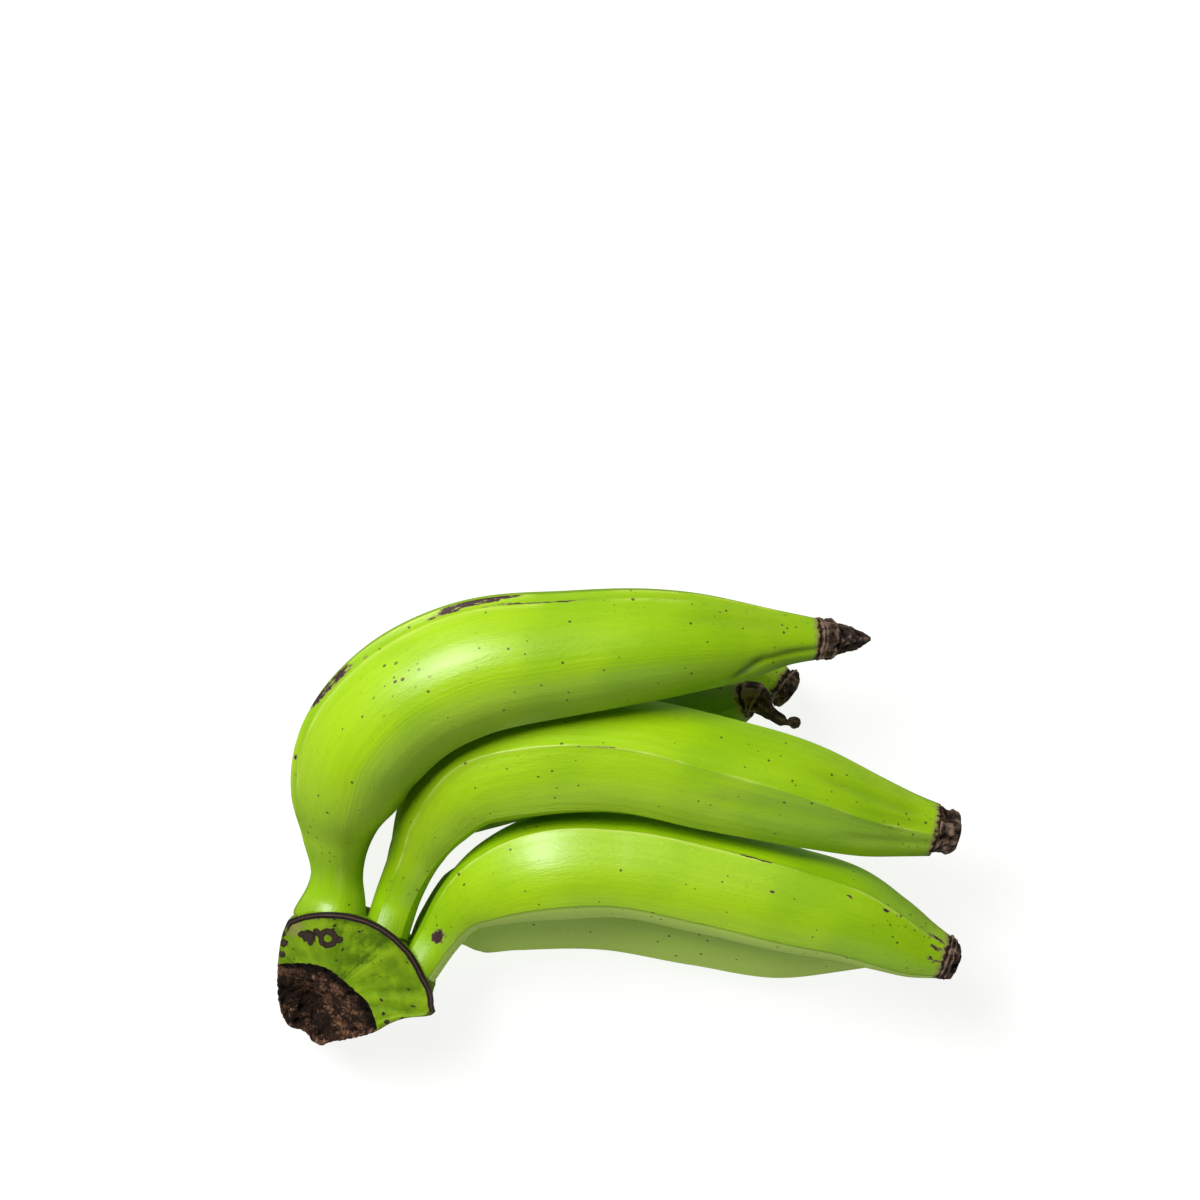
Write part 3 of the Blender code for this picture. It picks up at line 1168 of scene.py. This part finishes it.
    def spotting(self, at: Along) -> Array:
        """Finds the patches with more specks.

        Args:
            at: where the points lie.

        Returns:
            How many specks each point has, from 0 to 1.
        """
        found = np.zeros_like(at.share)
        for patch in self.spotted:
            across = at.from_angle(radians(patch.angle)) * at.radius
            found = np.maximum(found, bell(np.hypot(at.from_share(patch.share), across), patch.size))
        return found


FRUITS = (
    Fruit(
        name="fruit_front_top",
        root_angle=91.6,
        root_height=44.0,
        root_radius=14.6,
        stations=(
            (-103.8, -29, 46, 11.7), (-103.0, -22, 49, 10.1), (-102, -5, 58, 13.6),
            (-98.6, 11, 69, 20.7), (-90.7, 28.5, 81, 24.4), (-75.5, 43.7, 89, 25.3),
            (-55, 54, 93.3, 25.3), (-20, 60, 93.4, 23.4), (20, 63.6, 89, 19.6),
            (45, 64, 84, 14.2), (60, 64.6, 81, 9.8), (70, 64.4, 79, 7.8),
        ),
        ridges=(30, 105, 172, 245, 318),
        softness=(0.0, 0.9, 0.3, 0.0, 0.1),
        twist=0,
        flower_end=FlowerEnd(
            name="dried_flower_front_top",
            profile=(
                (0, 7.4), (1, 7.5), (2.5, 7.0), (5.5, 7.1), (6.8, 6.0),
                (10.5, 5.0), (15, 3.4), (19, 1.8), (21, 0.8),
            ),
            droop=(0, 0, -0.06),
            lobe_depth=0.05,
            pits=(
                Pit(0.22, 76, 1.1, 2.2), Pit(0.30, 116, 1.0, 1.8), Pit(0.40, 60, 0.9, 1.2),
                Pit(0.52, 82, 1.0, -0.8), Pit(0.38, 96, 0.8, -0.7), Pit(0.62, 100, 0.7, -0.5),
                Pit(0.50, 130, 0.8, 1.0),
            ),
            rims=((0.04, 0.3), (0.10, 0.25), (0.28, 0.3)),
            seed=2.0,
        ),
        creases=(
            Crease((0.87, 0.91), (150, 126), 1.6, 2.4),
            Crease((0.90, 1.0), (126, 124), 1.4, 1.6),
            Crease((0.80, 0.97), (62, 66), 0.5, 3.0),
            Crease((0.22, 0.80), (35, 35), 0.35, 0.9),
            Crease((0.22, 0.80), (41, 41), -0.22, 0.6),
        ),
        scuffs=(
            Scuff((0.32, 0.395), (31, 33), 1.9),
            Scuff((0.475, 0.59), (34, 29), 1.8),
            Scuff((0.53, 0.68), (37, 39), 0.8, 0.95),
            Scuff((0.265, 0.275), (33, 34), 0.9, 1.0),
            Scuff((0.40, 0.41), (36, 37), 0.8, 1.0),
        ),
        spotted=(
            Spotted(0.14, 100, 9), Spotted(0.17, 60, 6), Spotted(0.43, 76, 9), Spotted(0.52, 98, 5),
            Spotted(0.95, 80, 6), Spotted(0.72, 40, 6), Spotted(0.86, 45, 6),
        ),
        # painted shade on the inner side
        painted_inner_shade=0.42,
        seed=1.0,
    ),
    Fruit(
        name="fruit_front_middle",
        root_angle=54,
        root_height=48.0,
        root_radius=8.6,
        stations=(
            (-81.2, -32, 47, 8.5), (-75.1, -17.4, 53, 9.5), (-66.2, 0, 61, 14.8), (-53, 14, 68, 19.4),
            (-32, 20.4, 72, 21.5), (0, 22, 73, 21.6), (33, 16, 72, 21.6), (67, 8, 70, 19.6),
            (90, 0.8, 67, 15.3), (103, -2.3, 65, 12.2), (113.5, -4.4, 64, 10.0),
        ),
        ridges=(8, 80, 152, 220, 296),
        softness=(0.3, 0.0, 0.3, 0.1, 0.1),
        twist=40,
        flower_end=FlowerEnd(
            name="dried_flower_front_middle",
            profile=((0, 8.0), (1, 8.2), (3, 7.4), (6, 7.2), (8.2, 5.8), (9.2, 3.0)),
            lobes=5,
            lobe_depth=0.05,
            crumple=1.7,
            pits=(
                Pit(0.55, 90, 1.3, -1.2), Pit(0.75, 50, 1.2, -1.0), Pit(0.80, 120, 1.3, -1.2),
                Pit(0.65, 70, 0.7, 1.2), Pit(0.60, 112, 0.7, 1.2), Pit(0.45, 140, 1.1, -0.9),
                Pit(0.9, 85, 0.8, 1.0),
            ),
            rims=((0.06, 0.3),),
            seed=5.0,
        ),
        creases=(
            Crease((0.80, 0.98), (60, 62), 0.8, 2.2), Crease((0.86, 1.0), (128, 124), 0.7, 2.6),
            Crease((0.66, 0.95), (112, 104), 0.7, 4.0), Crease((0.88, 1.0), (84, 84), 0.5, 1.6),
        ),
        scuffs=(Scuff((0.45, 0.53), (80, 80), 0.5, 0.8),),
        spotted=(Spotted(0.12, 120, 7), Spotted(0.95, 95, 8)),
        seed=2.0,
    ),
    Fruit(
        name="fruit_front_bottom",
        root_angle=24,
        root_height=45.0,
        root_radius=7.8,
        stations=(
            (-66, -45, 45, 8.6), (-58, -34, 49, 11.0), (-46, -25.6, 54, 16.2), (-29, -19.4, 58, 20.0),
            (1, -18, 59, 20.2), (33, -24, 58, 20.2), (62, -31, 57, 19.8), (83, -36.5, 56, 18.0),
            (97, -43, 55, 14.9), (107.5, -48.2, 54, 12.0), (117.6, -51.8, 54, 8.4),
        ),
        ridges=(-16, 50, 134, 202, 272),
        softness=(0.2, 0.0, 0.5, 0.1, 0.1),
        twist=14,
        flower_end=FlowerEnd(
            name="dried_flower_front_bottom",
            profile=((0, 7.9), (1.2, 7.8), (3.2, 7.0), (4.8, 5.6), (5.8, 2.8)),
            crumple=1.1,
            pits=(Pit(0.72, 104, 1.5, 2.6), Pit(0.55, 70, 0.9, 1.2), Pit(0.5, 130, 0.9, -0.6)),
            rims=((0.12, 0.3), (0.45, 0.3)),
            seed=7.0,
        ),
        scuffs=(
            Scuff((0.60, 0.68), (50, 52), 0.8),
            Scuff((0.675, 0.69), (80, 84), 0.7),
            Scuff((0.062, 0.098), (88, 88), 3.6, 1.1),
            Scuff((0.95, 1.0), (52, 50), 1.5, 0.8),
            Scuff((0.96, 1.0), (75, 72), 2.2, 0.7),
            Scuff((0.965, 1.0), (100, 100), 2.0, 0.75),
            Scuff((0.80, 0.815), (62, 66), 0.9, 1.0),
            Scuff((0.86, 0.875), (60, 60), 0.8, 1.0),
        ),
        spotted=(Spotted(0.09, 95, 7), Spotted(0.93, 70, 12)),
        # painted light on the lower side
        painted_light_side=(137, 200),
        seed=3.0,
    ),
    Fruit(
        name="fruit_back_bottom",
        root_angle=22,
        root_height=20.0,
        root_radius=7.6,
        stations=(
            (-66.5, -43.5, 18, 9.8), (-58.3, -38, 16.8, 16.4), (-42, -33.4, 17.4, 19.2),
            (-7, -33, 16.8, 19.0), (30, -39, 16.6, 18.8), (60, -45, 15.8, 17.6),
            (82, -48, 16, 12.2), (97, -49, 18, 8.4), (106, -49, 19, 6.2),
        ),
        ridges=(24, 98, 166, 238, 310),
        softness=(0.2, 0.2, 0.0, 0.2, 0.2),
        twist=10,
        flower_end=FlowerEnd(
            name="dried_flower_back_bottom",
            profile=((0, 6.0), (3, 6.2), (6, 5.0), (8, 2.4)),
            seed=9.0,
        ),
        # painted light over the whole fruit
        bloom=0.9,
        seed=4.0,
    ),
    Fruit(
        name="fruit_back_middle",
        root_angle=54,
        root_height=20.0,
        root_radius=7.6,
        stations=(
            (-80.5, -29, 19, 8.2), (-75, -14, 17, 11.0), (-64, 3, 15.6, 15.4), (-46, 12, 16.2, 18.0),
            (-20, 18, 16.8, 18.8), (8, 26, 17.2, 18.0), (26, 34, 23, 14.8), (39, 39, 31, 11.2),
            (47, 41.4, 35, 6.8),
        ),
        ridges=(30, 100, 170, 244, 316),
        softness=(0.2, 0.2, 0.2, 0.2, 0.2),
        twist=0,
        flower_end=FlowerEnd(
            name="dried_flower_back_middle",
            path=(
                (46.6, 41.3, 34.8, 6.2), (49, 41.6, 35.6, 6.0), (51.4, 40.4, 36, 4.8), (53.6, 38, 36, 3.2),
                (56.6, 35.6, 35.4, 2.3), (60, 33.5, 35, 2.1), (61.8, 32.9, 35, 1.1), (63.2, 33, 35, 1.9),
                (65.2, 32.4, 35, 2.0), (66.3, 31.8, 35, 0.9),
            ),
            crumple=0.6,
            pits=(Pit(0.08, 70, 2.6, -0.5), Pit(0.2, 110, 0.9, 0.9), Pit(0.16, 150, 1.2, -0.5)),
            rims=((0.06, 0.5), (0.16, 0.4)),
            seed=11.0,
        ),
        # painted shade over the whole fruit, which lies in the shadow of the fruits above it
        shade=0.75,
        seed=5.0,
    ),
    Fruit(
        name="fruit_back_top",
        root_angle=92,
        root_height=20.0,
        root_radius=9.0,
        stations=(
            (-105, -23, 19, 8.6), (-103, -8, 17, 12.0), (-100, 9, 16, 17.0), (-91, 28, 17, 19.2),
            (-72, 46, 17.8, 20.0), (-40, 59, 17.8, 20.0), (-5, 64, 16.8, 18.8), (24, 63, 16, 15.6),
            (44, 57, 18, 11.2), (54, 51, 19, 8.4), (60, 46.5, 20, 6.8),
        ),
        ridges=(20, 92, 164, 236, 308),
        softness=(0.2, 0.2, 0.2, 0.2, 0.2),
        twist=0,
        flower_end=FlowerEnd(
            name="dried_flower_back_top",
            profile=((0, 6.6), (1.2, 7.2), (3, 6.8), (4.6, 5.6), (5.6, 3.0)),
            crumple=1.2,
            pits=(Pit(0.85, 96, 1.6, 2.2), Pit(0.6, 130, 1.0, 1.2), Pit(0.7, 60, 0.9, -0.6)),
            rims=((0.2, 0.4),),
            seed=13.0,
        ),
        # a little painted light over the whole fruit
        bloom=0.15,
        seed=6.0,
    ),
)


@dataclass(frozen=True)
class Blotch:
    """A dark mark on the crown, seen from above: its middle, its size, and whether it is an open ring."""

    x: float
    y: float
    size: float
    ring: bool = False


@dataclass(frozen=True)
class OnCrown:
    """Where each point of the crown lies on its plan."""

    angle: Array  # radians round the crown's middle
    band: Array  # how far it is across the green band, from 0 at the rim to 1 at the cut
    deep: Array  # how far it is into the cut, from 0 to 1
    away: Array  # how far inside the rim it is


@dataclass(frozen=True)
class Crown:
    """The cushion that the fruits grow from, cut from its stalk."""

    front: tuple[int, int] = (2, 116)
    back: tuple[tuple[float, float], ...] = (
        (-122.8, -43.4), (-124.7, -52.0), (-125.6, -62.4), (-125.3, -70.8), (-124.0, -75.6),
        (-121.5, -79.4), (-117.6, -80.4), (-114.8, -82.0), (-112.6, -84.8), (-109.5, -85.8),
        (-105.8, -84.4), (-100.7, -83.2), (-92.9, -81.0), (-88.3, -79.0), (-83.5, -76.2),
        (-77.9, -74.1), (-72.1, -73.4), (-69.0, -73.0), (-67.5, -71.2),
    )
    cut: tuple[tuple[float, float], ...] = (
        (-126.0, -55.4), (-117.0, -54.8), (-110.6, -55.1), (-105.8, -56.6), (-101.3, -60.0),
        (-96.8, -63.8), (-92.2, -67.8), (-89.4, -73.2), (-88.2, -80.0), (-98.0, -87.0),
        (-109.0, -90.0), (-117.0, -86.0), (-126.0, -80.0), (-130.0, -66.0),
    )
    cut_lip: float = 0.7
    hollow: tuple[float, float] = (-113.0, -68.6)
    hollow_depth: float = 8.0
    charred: tuple[tuple[float, float, float], ...] = (
        (-114.8, -70.6, 5.0), (-109.3, -77.6, 4.0), (-122.5, -66.0, 4.5), (-119.5, -76.5, 3.6),
    )
    blotches: tuple[Blotch, ...] = (
        Blotch(-112.9, -44.4, 2.5), Blotch(-115.6, -43.6, 1.3), Blotch(-105.6, -44.6, 2.9, ring=True),
        Blotch(-109.9, -42.2, 1.3), Blotch(-104.0, -41.9, 1.0), Blotch(-112.4, -46.4, 1.2),
        Blotch(-108.6, -43.2, 1.2), Blotch(-101.1, -45.0, 1.2), Blotch(-102.9, -39.9, 0.6),
        Blotch(-94.1, -42.1, 0.6), Blotch(-100.3, -48.7, 0.6), Blotch(-122.4, -47.2, 1.5),
        Blotch(-123.4, -51.6, 1.3), Blotch(-122.6, -43.6, 1.2), Blotch(-86.4, -67.4, 0.6),
        Blotch(-76.5, -63.4, 0.6), Blotch(-75.1, -69.6, 0.6), Blotch(-84.6, -75.4, 0.9),
        Blotch(-85.7, -72.4, 0.6), Blotch(-79.0, -74.4, 0.8),
    )
    dusty: tuple[float, float, float] = (-119.0, -41.6, 5.0)  # a grey tan scuff: x, y and size

    SIDES = 140
    WALL_RINGS = 16
    TOP_RINGS = 26
    LEVELS = 1
    BAND = 0.5  # share of the way in that the green band takes
    UNDERCUT = 5.0  # how far the side leans in at the bare end of the scar
    FOOT = (9.0, 0.2)  # the height below which the side draws in, and by what share
    WORN = 1.3  # how much wider the rim is where it is worn
    SCAR_LINES = (0.5, 1.75)  # how far inside the rim the two scar lines run
    SCAR_HEIGHT = 0.5
    FOLD_HEIGHT = 0.5
    RIM_DROP = 0.8
    BAND_DROP = 0.6
    PIT_DEPTH = 2.2
    FIBRE_DROP = 1.1
    CHAR_SPREAD = 1.7

    def build(self, material: bpy.types.Material) -> bpy.types.Object:
        """Models the crown.

        Args:
            material: the finish of the crown.

        Returns:
            The piece.
        """
        piece = drum("crown_of_the_hand", self.SIDES, self.WALL_RINGS, self.TOP_RINGS, self.LEVELS)
        up, angle, outward = polar(points_of(piece))
        inward = 1 - outward
        ring = np.stack((np.cos(angle), np.sin(angle), up), axis=1)
        sawn = self.sawn(angle)
        edge = self.reach(self.outline(), angle) + noise_at(ring, 0.06, 3) * 0.5 * sawn
        edge = edge + self.worn_end(angle) * self.WORN
        cut = np.minimum(self.reach(self.smooth(self.cut), angle), edge - self.cut_lip)
        cut = cut + noise_at(ring * (1, 1, 0), 0.07, 5) * 0.35 * (1 - sawn)
        band = np.clip(inward / self.BAND, 0, 1)
        deep = np.clip((inward - self.BAND) / (1 - self.BAND), 0, 1)
        reach = edge - (edge - cut) * band
        x = CROWN_MIDDLE[0] + reach * np.cos(angle)
        y = CROWN_MIDDLE[1] + reach * np.sin(angle)
        x = x + (self.hollow[0] - x) * deep
        y = y + (self.hollow[1] - y) * deep
        at = OnCrown(angle, band, deep, edge - reach)
        top = self.top(x, y, at)
        places = np.stack((x, y, top * up), axis=1)
        side = inward < 0.01
        knobbly = noise_at(places * (1, 1, 0.6), 7, 2) * 0.8 + noise_at(places, 2.2, 6) * 0.5 * sawn
        lean = (1 - up) * self.UNDERCUT * self.bare_end(angle)
        foot_height, foot = self.FOOT
        drawn_in = ease(places[:, 2], foot_height, 0.0) * edge * foot
        pull = (drawn_in + lean - knobbly * np.sin(pi * up)) * side
        pull = pull + reach * (foot + lean / edge) * (up < 0.001) * (1 - side)
        places[:, 0] -= np.cos(angle) * pull
        places[:, 1] -= np.sin(angle) * pull
        move_points(piece, places)
        self.keep_masks(piece, places, up, at)
        piece.data.materials.append(material)
        return piece

    def top(self, x: Array, y: Array, at: OnCrown) -> Array:
        """Finds the height of the top: the scarred rim, the folded band, the cut and its hollow.

        Args:
            x: each point's x.
            y: its y.
            at: where it lies on the plan.

        Returns:
            The heights.
        """
        rim = rim_height(x, y)
        folds = self.folds(at.angle) * np.sin(pi * at.band) * self.FOLD_HEIGHT
        slope = rim + (CUT_EDGE[2] - rim) * at.band**1.5 + folds - ease(at.away, 2.4, 3.4) * self.BAND_DROP
        height = np.minimum(slope, cut_height(x, y))
        height = height + self.scar(at.away) * self.fronting(at.angle) * self.SCAR_HEIGHT
        height = height - ease(at.away, 0.5, 0.0) * self.RIM_DROP
        places = np.stack((x, y, np.zeros_like(x)), axis=1)
        inside = ease(at.deep, 0.0, 0.06)
        fibres = noise_at(places, 2.4, 7) * 1.1 + noise_at(places, 0.9, 9) * 0.6
        pits = ease(noise_at(places, 3.2, 12), 0.15, 0.55) * self.PIT_DEPTH
        height = height - self.hollow_depth * ease(at.deep, 0.15, 1.0)
        return height + inside * (fibres - pits - self.FIBRE_DROP)

    def scar(self, away: Array) -> Array:
        """The two raised lines of the scar at these distances inside the rim."""
        first, second = self.SCAR_LINES
        return np.maximum(bell(away - first, 0.5), bell(away - second, 0.42))

    def folds(self, angle: Array) -> Array:
        """Radial folds of uneven width round the crown, from -1 to 1."""
        ring = np.stack((np.cos(angle), np.sin(angle), np.zeros_like(angle)), axis=1)
        return noise_at(ring, 0.21, 4) * 1.3 + noise_at(ring, 0.07, 8) * 0.4

    def fronting(self, angle: Array) -> Array:
        """1 where the fruits stand on the crown, 0 on its cut sides."""
        turn = (np.degrees(angle) + 90) % 360 - 90
        return ease(turn, -12, -7) * ease(turn, 124, 117)

    def bare_end(self, angle: Array) -> Array:
        """1 at the end of the scar, where the crown's side has no fruit, 0 elsewhere."""
        turn = (np.degrees(angle) + 90) % 360 - 90
        return ease(turn, -20, -12) * ease(turn, 3, -3)

    def worn_end(self, angle: Array) -> Array:
        """1 where the scar's rim is worn pale near its bare end, 0 elsewhere."""
        return bell(np.degrees(angle) + 1, 9)

    def sawn(self, angle: Array) -> Array:
        """1 where the cut reaches the crown's side, 0 elsewhere."""
        turn = np.degrees(angle) % 360
        return ease(turn, 147, 151) * ease(turn, 327, 323)

    def keep_masks(self, piece: bpy.types.Object, places: Array, up: Array, at: OnCrown) -> None:
        """Stores what the crown's material reads: where it is cut, scarred, marked and dusty, and the fold
        heights that its painted light and shade follow.

        Args:
            piece: the crown.
            places: one row of x, y and z for each point.
            up: how far it is up the side, from 0 to 1.
            at: where it lies on the plan.
        """
        x, y, height = places.T
        on_top = up > 0.999
        sawn = self.sawn(at.angle)
        side = (1 - on_top) * sawn * ease(height + noise_at(places, 6, 3) * 4, 8, 12)
        inside = np.maximum(on_top * np.maximum(ease(at.band, 0.96, 1.0), sawn), side)
        burnt = np.zeros_like(x)
        for char_x, char_y, size in self.charred:
            burnt = np.maximum(burnt, bell(np.hypot(x - char_x, y - char_y), size * self.CHAR_SPREAD))
        dust_x, dust_y, dust_size = self.dusty
        store(
            piece,
            cut=inside,
            border=on_top * (1 - sawn) * ease(at.band, 0.955, 0.985) * ease(at.deep, 0.26, 0.11),
            front=on_top * self.fronting(at.angle),
            away=at.away,
            worn=self.worn_end(at.angle),
            char=inside * np.maximum(burnt, side * 0.4),
            # fold heights, which the material turns into painted light and shade
            fold=(self.folds(at.angle) + 1) / 2,
            blotch=on_top * (1 - inside) * self.blotched(x, y),
            dusty=on_top * bell(np.hypot(x - dust_x, (y - dust_y) * 1.6), dust_size),
        )

    def blotched(self, x: Array, y: Array) -> Array:
        """Finds the dark marks.

        Args:
            x: each point's x.
            y: its y.

        Returns:
            How far the point is within a mark, from 0 to 1.
        """
        found = np.zeros_like(x)
        for blotch in self.blotches:
            apart = np.hypot(x - blotch.x, y - blotch.y)
            apart = np.abs(apart - blotch.size * 0.9) * 2.6 if blotch.ring else apart
            found = np.maximum(found, ease(apart, blotch.size * 1.7, blotch.size * 0.3))
        return found

    def outline(self) -> Array:
        """Draws the crown's outline seen from above: the front arc and the cut back.

        Returns:
            One row of x and y for each of its points.
        """
        turns = np.radians(np.arange(self.front[0], self.front[1] + 1))
        x, y = CROWN_AXIS
        front = np.stack((x + CROWN_RADIUS * np.cos(turns), y + CROWN_RADIUS * np.sin(turns)), axis=1)
        stations = [(*place, 0.0, 0.0) for place in (front[-1], *self.back, front[0])]
        return np.vstack((front, MiddleLine(stations).samples[1:-1, :2]))

    def smooth(self, points: Sequence[tuple[float, float]]) -> Array:
        """A smooth closed outline through these points."""
        ring = [(*point, 0.0, 0.0) for point in (*points, points[0])]
        return MiddleLine(ring).samples[:-1, :2]

    def reach(self, outline: Array, angle: Array) -> Array:
        """Finds how far an outline lies from the crown's middle.

        Args:
            outline: one row of x and y for each of its points.
            angle: radians round the middle.

        Returns:
            The distance at each angle.
        """
        offsets = outline - np.array(CROWN_MIDDLE)
        turns = np.arctan2(offsets[:, 1], offsets[:, 0])
        order = np.argsort(turns)
        return np.interp(angle, turns[order], np.hypot(*offsets.T)[order], period=2 * pi)


@dataclass(frozen=True)
class Studio:
    """A white floor, a soft light from behind the hand and a camera straight above."""

    camera_place: tuple[float, float, float] = (-0.0063, 0.0798, 1.55)
    focal_length: float = 123.75
    floor_radius: float = 12.0
    key_place: tuple[float, float, float] = (-0.62, 0.66, 1.42)
    key_size: float = 0.74
    key_power: float = 33.0
    fill_place: tuple[float, float, float] = (0.25, -1.5, 0.8)
    fill_size: float = 1.2
    fill_power: float = 3.0
    world_strength: float = 0.05
    sensor_width: float = 36
    sight: float = 50  # how far the camera sees
    floor_sides: int = 96

    def build(self) -> None:
        """Sets the floor, the lights, the world and the camera."""
        self.add_floor()
        self.add_light("key_light", self.key_place, self.key_size, self.key_power)
        self.add_light("fill_light", self.fill_place, self.fill_size, self.fill_power)
        start_fresh()
        bpy.ops.object.camera_add(location=self.camera_place, rotation=(0, 0, 0))
        camera = bpy.context.active_object
        camera.data.lens = self.focal_length
        camera.data.sensor_width = self.sensor_width
        camera.data.clip_end = self.sight
        scene = bpy.context.scene
        scene.camera = camera
        scene.world = scene.world or bpy.data.worlds.new("studio")
        scene.world.use_nodes = True
        background = scene.world.node_tree.nodes["Background"]
        background.inputs["Color"].default_value = (1, 1, 1, 1)
        background.inputs["Strength"].default_value = self.world_strength
        scene.view_settings.view_transform = "Standard"

    def add_floor(self) -> None:
        """Models the floor, wide enough to fill the picture from any side and not mirrored in the skin."""
        start_fresh()
        sides, radius = self.floor_sides, self.floor_radius
        bpy.ops.mesh.primitive_circle_add(vertices=sides, radius=radius, fill_type="NGON")
        floor = bpy.context.active_object
        floor.name = "floor"
        floor.data.materials.append(PaleFloor().material())
        floor.visible_glossy = False

    @staticmethod
    def add_light(name: str, place: tuple[float, float, float], size: float, power: float) -> None:
        """Sets a square soft box that faces the hand.

        Args:
            name: the light's name.
            place: where it stands, in metres.
            size: the length of its side.
            power: its power in watts.
        """
        start_fresh()
        bpy.ops.object.light_add(type="AREA", location=place)
        light = bpy.context.active_object
        light.name = name
        light.data.size = size
        light.data.energy = power
        light.rotation_euler = (-Vector(place)).to_track_quat("-Z", "Y").to_euler()


def hand_over(piece: bpy.types.Object, node: str) -> None:
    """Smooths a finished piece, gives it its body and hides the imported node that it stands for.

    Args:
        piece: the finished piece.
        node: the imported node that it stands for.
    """
    start_fresh()
    piece.select_set(True)
    bpy.context.view_layer.objects.active = piece
    bpy.ops.object.shade_smooth()
    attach(piece, BODY)
    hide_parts(node)
    LOG.info("%s: %d faces, for %s", piece.name, len(piece.data.polygons), node)


def main() -> None:
    """Builds every piece of the hand, then the studio round it."""
    logging.basicConfig(level=logging.INFO, format="%(message)s")
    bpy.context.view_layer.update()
    Studio().build()
    skin, dried = WaxySkin().material(), DriedFlower().material()
    hand_over(Crown().build(CrownSkin().material()), "crown")
    for fruit in FRUITS:
        node = fruit.name.replace("fruit", "plantain")
        hand_over(fruit.build(skin), node)
        line = fruit.line()
        tip, way = line.samples[-1, :3], line.ways[-1]
        end = fruit.flower_end.build(tip, way, dried)
        hand_over(end, node.replace("plantain", "flower_end"))


if __name__ == "__main__":
    main()
